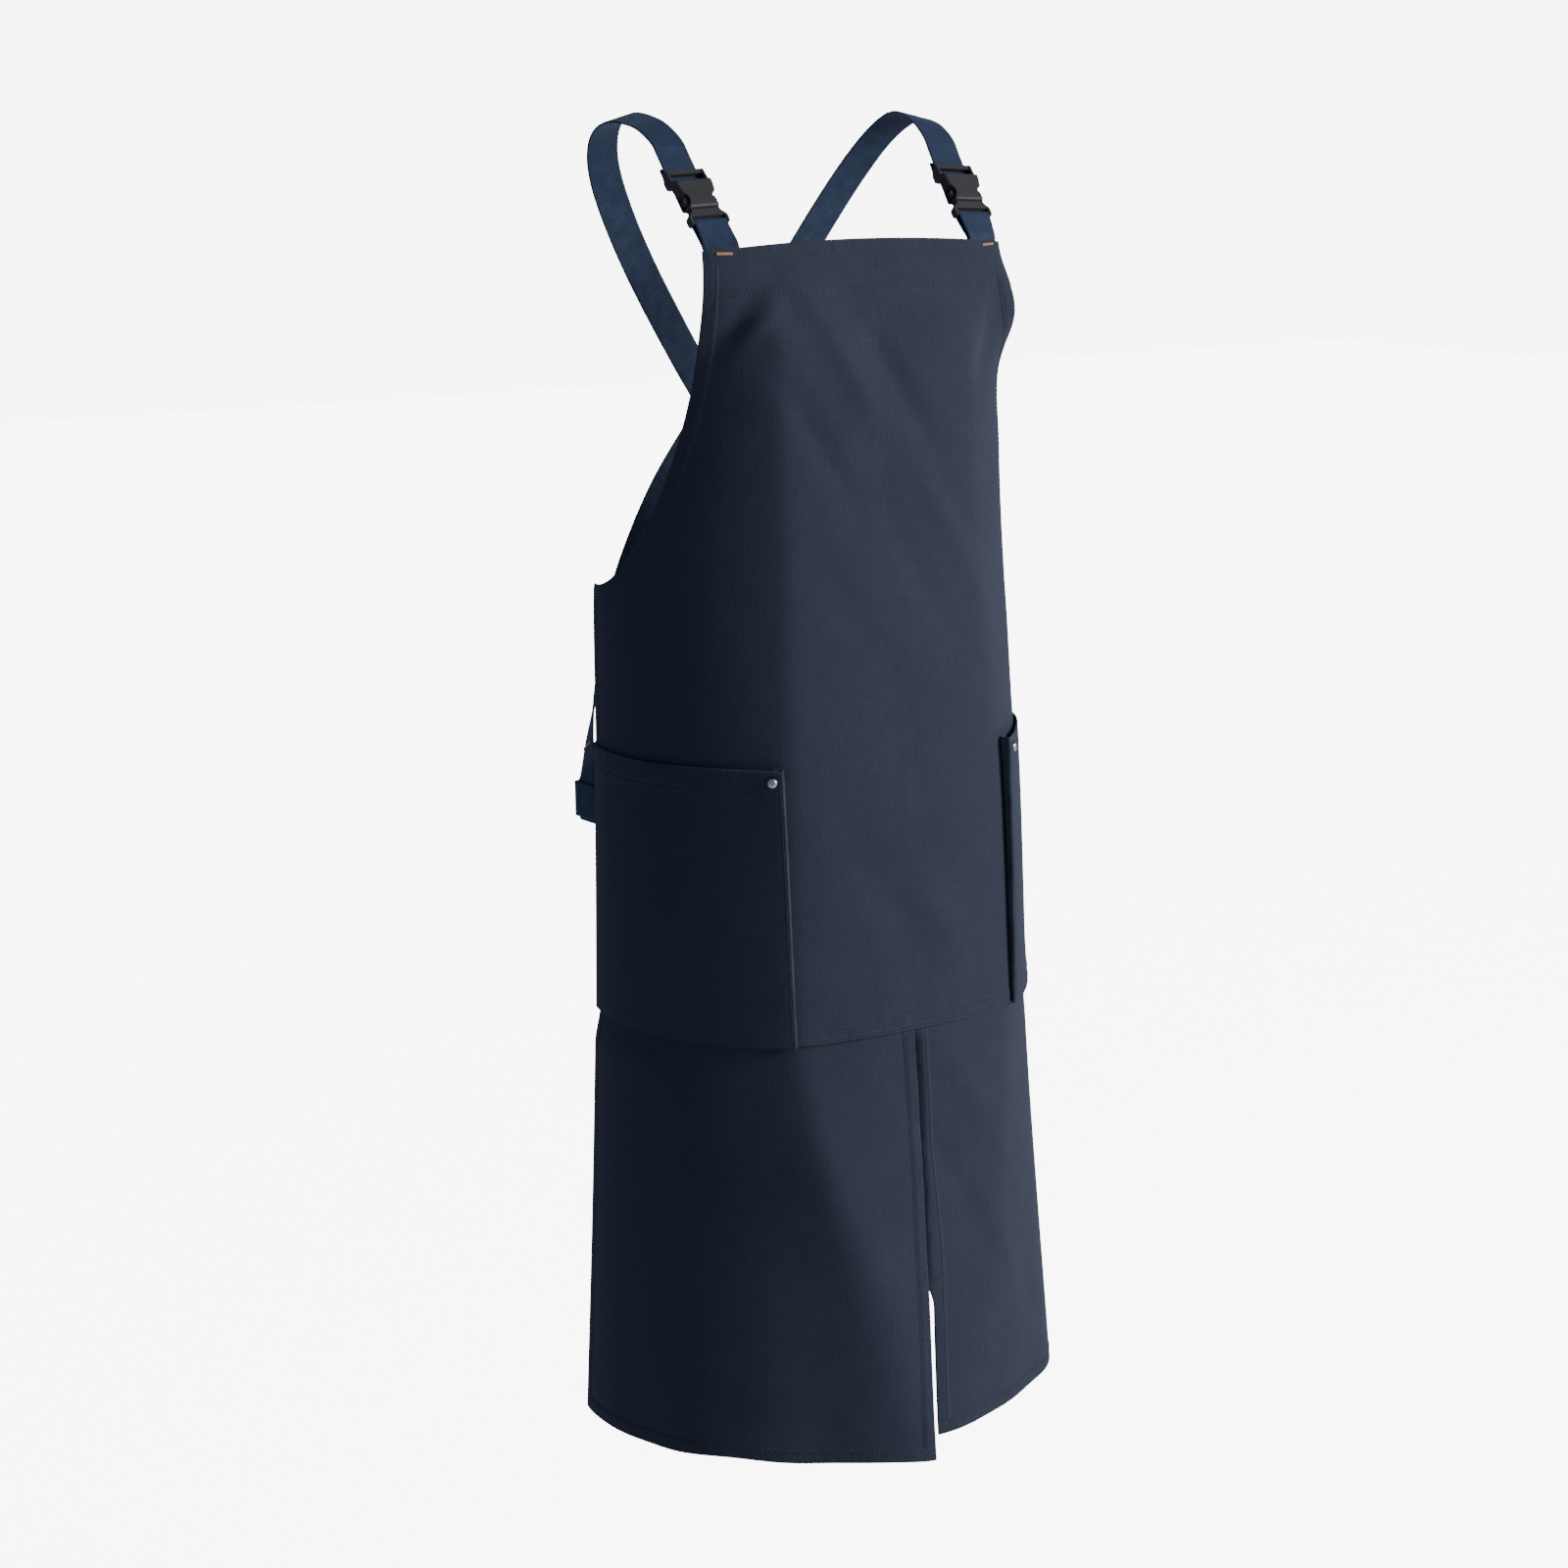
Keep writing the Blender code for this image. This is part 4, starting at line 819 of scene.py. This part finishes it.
def smooth_band(centres, across, step):
    """Catmull-Rom through the band's points at about equal steps."""
    rows = np.hstack([centres, across])
    padded = np.vstack([2 * rows[0] - rows[1], rows, 2 * rows[-1] - rows[-2]])
    line = []
    for i in range(len(rows) - 1):
        p0, p1, p2, p3 = padded[i : i + 4]
        count = max(1, round(np.linalg.norm((p2 - p1)[:3]) / step))
        for t in np.arange(count) / count:
            line.append(
                0.5 * (2 * p1 + (p2 - p0) * t + (2 * p0 - 5 * p1 + 4 * p2 - p3) * t**2
                       + (3 * p1 - p0 - 3 * p2 + p3) * t**3)
            )
    line.append(rows[-1])
    line = np.array(line)
    return line[:, :3], line[:, 3:]


def make_band(node, body, width=27.0 * MM, thick=1.4 * MM, step=2.0 * MM):
    centres, across = smooth_band(*band_route(node), step)
    along = np.gradient(centres, axis=0)
    along /= np.linalg.norm(along, axis=1)[:, None]
    across -= along * (along * across).sum(1)[:, None]
    across /= np.linalg.norm(across, axis=1)[:, None]
    out = np.cross(across, along)
    walked = np.concatenate([[0], np.cumsum(np.linalg.norm(np.diff(centres, axis=0), axis=1))])
    half = np.array([-13.5, -13.35, -12.9, -12.2, -11, -8, -5, -2, 2, 5, 8, 11, 12.2, 12.9, 13.35, 13.5])
    half *= width / (27.0 * MM)
    profile = []
    for side in (1, -1):
        for w in half * side:
            round_off = 1 - 0.55 * blend01(abs(w), 12.6, 13.5)
            selvedge = 1 + 0.10 * hump(abs(w), 12.0, 0.6)
            profile.append((w * MM, side * thick / 2 * round_off * min(selvedge, 1.07)))
    profile = np.array(profile)
    count = len(profile)
    grid = (
        centres[:, None]
        + across[:, None] * profile[None, :, :1]
        + out[:, None] * profile[None, :, 1:]
    )
    index = np.arange(len(centres) * count).reshape(len(centres), count)
    ahead = np.roll(index, -1, axis=1)
    quads = np.stack([index[:-1], ahead[:-1], ahead[1:], index[1:]], -1).reshape(-1, 4)
    faces = [list(q) for q in quads]
    faces += [list(index[0][::-1]), list(index[-1])]
    uv = np.stack(
        [np.tile(profile[:, 0], len(centres)), np.repeat(walked, count)], -1
    )
    thing = add_mesh(node + "_webbing", grid.reshape(-1, 3), faces, WEBBING_CLOTH, uv)
    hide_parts(node)
    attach(thing, body)
    return thing


# ---------------------------------------------------------------- stitches


def stitch_run(flat, surface, pitch=3.6 * MM, length=3.0 * MM, radius=0.26 * MM):
    """Start, middle and end points of small stitches lying along a line of flat places, with their radius."""
    flat = np.asarray(flat, float)
    walked = np.concatenate([[0], np.cumsum(np.linalg.norm(np.diff(flat, axis=0), axis=1))])
    starts = np.arange(pitch * 0.5, walked[-1] - length, pitch)

    def at(distance):
        return [np.interp(distance, walked, flat[:, k]) for k in range(2)]

    ends = [surface(*at(starts + shift)) for shift in (0.0, length / 2, length)]
    return [np.stack(ends, 1), radius]


def add_stitches(name, runs, material):
    """One mesh of six-sided spindles from the given runs of (start, middle, end) points."""
    points, faces, uv = [], [], []
    base = 0
    for ends, radius in runs:
        way = ends[:, 2] - ends[:, 0]
        size = np.linalg.norm(way, axis=1)
        way /= size[:, None]
        centre = np.array([0, -0.05, 0])
        out = (ends[:, 1] - centre) * (1, 1, 0)
        out /= np.linalg.norm(out, axis=1)[:, None]
        side = np.cross(way, out)
        side /= np.linalg.norm(side, axis=1)[:, None]
        out = np.cross(side, way)
        rings = ((0.0, 0.25, -0.30), (0.12, 0.85, 0.0), (0.5, 1.0, 0.25), (0.88, 0.85, 0.0), (1.0, 0.25, -0.30))
        for n in range(len(ends)):
            for share, fat, up in rings:
                middle = ends[n, 0] + way[n] * size[n] * share + out[n] * up * radius
                for k in range(6):
                    a = k * math.pi / 3
                    spoke = side[n] * math.cos(a) + out[n] * math.sin(a) * 0.8
                    points.append(middle + spoke * radius * fat)
                    uv.append((a / 6.28 * radius * 6, share * size[n]))
            for r in range(4):
                for k in range(6):
                    a, b = base + r * 6 + k, base + r * 6 + (k + 1) % 6
                    faces.append((a, b, b + 6, a + 6))
            faces.append(tuple(base + k for k in range(6))[::-1])
            faces.append(tuple(base + 24 + k for k in range(6)))
            base += 30
    return add_mesh(name, np.array(points), faces, material, np.array(uv))


def inset(border, distance):
    """A flat line moved sideways to its left by a distance."""
    way = np.gradient(border, axis=0)
    way /= np.linalg.norm(way, axis=1)[:, None]
    return border + np.stack([-way[:, 1], way[:, 0]], -1) * distance


def body_surface(s, z):
    return place(s, z + arch_at(s, z), folds(s, z) + 0.22 * MM)


def panel_surface(sign):
    def surface(s, z):
        rise = hem_rise(own_side(s, sign), z)
        return place(s, z + rise, panel_lift(s, z, sign) + 0.30 * MM)

    return surface


def flat_line(a, b, count=60):
    return np.linspace(a, b, count)


def make_body_stitches():
    runs = []
    top = BIB_TOP - FACING_DEPTH + 0.8 * MM
    edge = float(half_width_at(top)) - HEM_WIDTH
    runs.append(stitch_run(flat_line((-edge, top), (edge, top)), body_surface))
    drops = 1 - (1 - np.linspace(0.0, 1.0, 220)) ** 2.2
    heights = BIB_TOP - 1 * MM + (WAIST_CORNER - BIB_TOP) * drops
    for sign in (1.0, -1.0):
        arm = np.stack([half_width_at(heights), heights], -1)
        moved = inset(arm, -(HEM_WIDTH - 1.5 * MM))
        moved = moved[moved[:, 1] > WAIST_CORNER - 60 * MM]
        keep = moved[:, 0] < WAIST_HALF - HEM_WIDTH + 1.5 * MM
        runs.append(stitch_run(moved[keep] * (sign, 1), body_surface))
        low = (WAIST_HALF - HEM_WIDTH + 1.5 * MM, WAIST_CORNER - 8 * MM)
        end = (SEAM_HALF - HEM_WIDTH + 1.5 * MM, HIP_SEAM)
        runs.append(stitch_run(flat_line(low, end) * (sign, 1), body_surface))
    for up in (4.0, 11.4):
        z = HIP_SEAM + up * MM
        reach = POCKET_INNER - 1.5 * MM
        runs.append(stitch_run(flat_line((-reach, z), (reach, z), 120), body_surface))
    thing = add_stitches("body_stitches", runs, NAVY_THREAD)
    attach(thing, "apron")
    return thing


def make_pocket_stitches(side, sign):
    def surface(s, z):
        lifts = [pocket_face(a, b) for a, b in zip(np.abs(s), z)]
        return place(s, z, np.array(lifts) + 0.12 * MM)

    inner = POCKET_INNER + 2.5 * MM
    outer = float(half_width_at(POCKET_TOP)) - POCKET_MARGIN - 3 * MM
    hem_z = POCKET_TOP - POCKET_HEM + 1.5 * MM
    runs = [stitch_run(flat_line((inner, hem_z), (outer, hem_z), 80) * (sign, 1), surface)]
    up_line = flat_line((inner, HIP_SEAM + 4 * MM), (inner, POCKET_TOP - 2 * MM), 80)
    runs.append(stitch_run(up_line * (sign, 1), surface))
    low_outer = float(half_width_at(HIP_SEAM)) - POCKET_MARGIN - 3 * MM
    for up in (4.0, 11.4):
        z = HIP_SEAM + up * MM
        runs.append(stitch_run(flat_line((inner, z), (low_outer, z), 80) * (sign, 1), surface))
    thing = add_stitches("pocket_stitches_" + side, runs, NAVY_THREAD)
    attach(thing, "apron")
    return thing


def make_leg_stitches(side, sign):
    inset_by = HEM_WIDTH - 1.5 * MM
    heights = np.linspace(HIP_SEAM - 3 * MM, HEM + inset_by, 120)
    slit = np.stack([slit_line(heights, sign) + inset_by, heights], -1)
    seam = np.stack([half_width_at(heights) - inset_by, heights], -1)
    z = HEM + inset_by
    start = float(slit_line(z, sign)) + inset_by
    hem = flat_line((start, z), (float(half_width_at(z)) - inset_by, z), 140)
    surface = panel_surface(sign)
    runs = [stitch_run(line * (sign, 1), surface) for line in (slit, seam, hem)]
    thing = add_stitches("leg_stitches_" + side, runs, NAVY_THREAD)
    bend_with_leg(thing)
    return thing


def make_bar_tack(node, sign):
    """A bar of close slanting threads."""
    low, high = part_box(node)
    points = np.array([v.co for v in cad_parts[node].data.vertices])
    middle = points.mean(0)
    spread = points - middle
    _, _, axes = np.linalg.svd(spread, full_matrices=False)
    long_way, up_way, out_way = axes
    if out_way[:2] @ (middle[:2] - (0, -0.05)) < 0:
        out_way = -out_way
    length = np.ptp(spread @ long_way)
    height = np.ptp(spread @ up_way)
    face = np.abs(spread @ out_way).max()
    runs = []
    count = 34
    for k in range(count):
        x = (k + 0.5) / count * length - length / 2
        lean = 0.10 * MM * (1 if k % 2 else -1)
        a = middle + long_way * (x - lean) - up_way * height / 2 + out_way * (face - 0.15 * MM)
        b = middle + long_way * (x + lean) + up_way * height / 2 + out_way * (face - 0.15 * MM)
        runs.append((np.array([[a, (a + b) / 2, b]]), 0.22 * MM))
    thing = add_stitches(node + "_thread", runs, TAN_THREAD)
    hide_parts(node)
    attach(thing, "apron")
    return thing


# ---------------------------------------------------------------- hardware


def finish_node(name, material, bevel):
    """Keeps a CAD node, with softened edges and its real material."""
    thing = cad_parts[name]
    thing.data.materials.clear()
    thing.data.materials.append(material)
    soften = thing.modifiers.new("soften", "BEVEL")
    soften.width = bevel
    soften.segments = 2
    soften.limit_method = "ANGLE"
    soften.angle_limit = math.radians(38)
    soften.harden_normals = False
    thing.modifiers.new("even", "WEIGHTED_NORMAL")
    return thing


def rivet_shade_ring(side, sign):
    """A dark metal ring round the rivet's cap: painted shade at the cap's rolled edge."""
    s, z = RIVET_PLACE
    centre = place(s * sign, z, pocket_face(s, z))
    ahead = place((s + 3 * MM) * sign, z, pocket_face(s + 3 * MM, z)) - centre
    up = np.array([0, 0, 1.0])
    ahead /= np.linalg.norm(ahead)
    out = np.cross(ahead, up) * sign
    out /= np.linalg.norm(out)
    if out[:2] @ (centre[:2] - (0, -0.05)) < 0:
        out = -out
    ring, tube = 3.85 * MM, 0.40 * MM
    grid, faces = [], []
    rounds, turns = 40, 10
    for i in range(rounds):
        a = i / rounds * 2 * math.pi
        spoke = ahead * math.cos(a) + up * math.sin(a)
        for k in range(turns):
            b = k / turns * 2 * math.pi
            grid.append(centre + spoke * (ring + tube * math.cos(b)) + out * (tube * math.sin(b) + 0.25 * MM))
    for i in range(rounds):
        for k in range(turns):
            j, m = (i + 1) % rounds, (k + 1) % turns
            faces.append((i * turns + k, j * turns + k, j * turns + m, i * turns + m))
    thing = add_mesh("rivet_shade_rim_" + side, np.array(grid), faces, RIVET_SHADE_METAL)
    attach(thing, "apron")
    return thing


# ---------------------------------------------------------------- build

body_cloth = make_body()
facing = make_facing()
body_threads = make_body_stitches()
straps = {}
for side, sign in SIDES:
    straps[side] = make_band("shoulder_strap_" + side, "apron")
    loop = make_band("bib_loop_" + side, "apron", step=1.0 * MM)
    tab = make_band("side_loop_" + side, "apron", step=1.0 * MM)
    make_band("strap_tail_" + side, "female_half_" + side, step=1.0 * MM)
    make_bar_tack("bib_bar_tack_" + side, sign)
    make_bar_tack("strap_end_tack_" + side, sign)
    for name in ("buckle_male_", "buckle_female_", "latch_arm_outer_", "latch_arm_inner_"):
        finish_node(name + side, PLASTIC, 0.35 * MM)
    finish_node("rivet_cap_" + side, NICKEL, 0.2 * MM)
    finish_node("rivet_burr_" + side, NICKEL, 0.15 * MM)
    rivet_shade_ring(side, sign)
    pocket = make_pocket(side, sign)
    pocket_threads = make_pocket_stitches(side, sign)
    leg = make_leg_panel(side, sign)
    leg_threads = make_leg_stitches(side, sign)


# ---------------------------------------------------------------- camera, floor and light


def make_camera():
    """Level with the shoulders, to the wearer's right of the front, looking a little down."""
    turn, distance, height = math.radians(-32.377), 2.1831, 0.0013
    pan, pitch, roll = 0.0041, 0.2311, -0.0063
    back = Vector((math.sin(turn), -math.cos(turn), 0))
    right = Vector((math.cos(turn), math.sin(turn), 0))
    up = Vector((0, 0, 1))
    ahead = -back * math.cos(pan) + right * math.sin(pan)
    right = right * math.cos(pan) + back * math.sin(pan)
    look = ahead * math.cos(pitch) - up * math.sin(pitch)
    up = ahead * math.sin(pitch) + up * math.cos(pitch)
    x = right * math.cos(roll) + up * math.sin(roll)
    y = up * math.cos(roll) - right * math.sin(roll)
    data = bpy.data.cameras.new("camera")
    data.sensor_width = 36.0
    data.lens = 2901.9 / 1600 * 36.0
    camera = bpy.data.objects.new("camera", data)
    turned = Matrix((x, y, -look)).transposed().to_4x4()
    camera.matrix_world = Matrix.Translation(back * distance + Vector((0, 0, height))) @ turned
    bpy.context.scene.collection.objects.link(camera)
    bpy.context.scene.camera = camera


def make_light(name, at, aim, size, power):
    data = bpy.data.lights.new(name, "AREA")
    data.size = size
    data.energy = power
    lamp = bpy.data.objects.new(name, data)
    lamp.location = at
    lamp.rotation_euler = (Vector(aim) - Vector(at)).to_track_quat("-Z", "Y").to_euler()
    bpy.context.scene.collection.objects.link(lamp)


def make_floor():
    n = Nodes("pale_floor")
    n.set(Base_Color=(0.86, 0.86, 0.86, 1.0), Roughness=0.9)
    glow = n.add("Emission", Color=(1.0, 1.0, 1.0, 1.0), Strength=8.0)
    seen = n.add("LightPath").outputs["Is Camera Ray"]
    dark = n.add("Emission", Color=(0.0, 0.0, 0.0, 1.0))
    picked = n.add("MixShader", i0=seen, i1=dark.outputs[0], i2=glow.outputs[0])
    both = n.add("AddShader", i0=n.shader.outputs[0], i1=picked.outputs[0])
    n.link(both.outputs[0], n.tree.nodes["Material Output"].inputs["Surface"])
    mesh = bpy.data.meshes.new("floor")
    reach, low = 12.0, -1.45
    corners = [(-reach, -reach, low), (reach, -reach, low), (reach, reach, low), (-reach, reach, low)]
    mesh.from_pydata(corners, [], [(0, 1, 2, 3)])
    mesh.materials.append(n.material)
    floor = bpy.data.objects.new("floor", mesh)
    bpy.context.scene.collection.objects.link(floor)


def make_surroundings():
    world = bpy.data.worlds.new("studio")
    world.use_nodes = True
    tree = world.node_tree
    background = tree.nodes["Background"]
    background.inputs["Color"].default_value = (0.80, 0.92, 1.30, 1.0)
    background.inputs["Strength"].default_value = WORLD_LIGHT
    seen = tree.nodes.new("ShaderNodeBackground")
    seen.inputs["Strength"].default_value = 9.0
    path = tree.nodes.new("ShaderNodeLightPath")
    mix = tree.nodes.new("ShaderNodeMixShader")
    tree.links.new(path.outputs["Is Camera Ray"], mix.inputs[0])
    tree.links.new(background.outputs[0], mix.inputs[1])
    tree.links.new(seen.outputs[0], mix.inputs[2])
    tree.links.new(mix.outputs[0], tree.nodes["World Output"].inputs["Surface"])
    bpy.context.scene.world = world
    make_light("key", (2.55, -2.75, 0.9), (0.0, -0.05, -0.5), 1.5, KEY_LIGHT)


WORLD_LIGHT = 0.19
KEY_LIGHT = 158.0

make_camera()
make_floor()
make_surroundings()
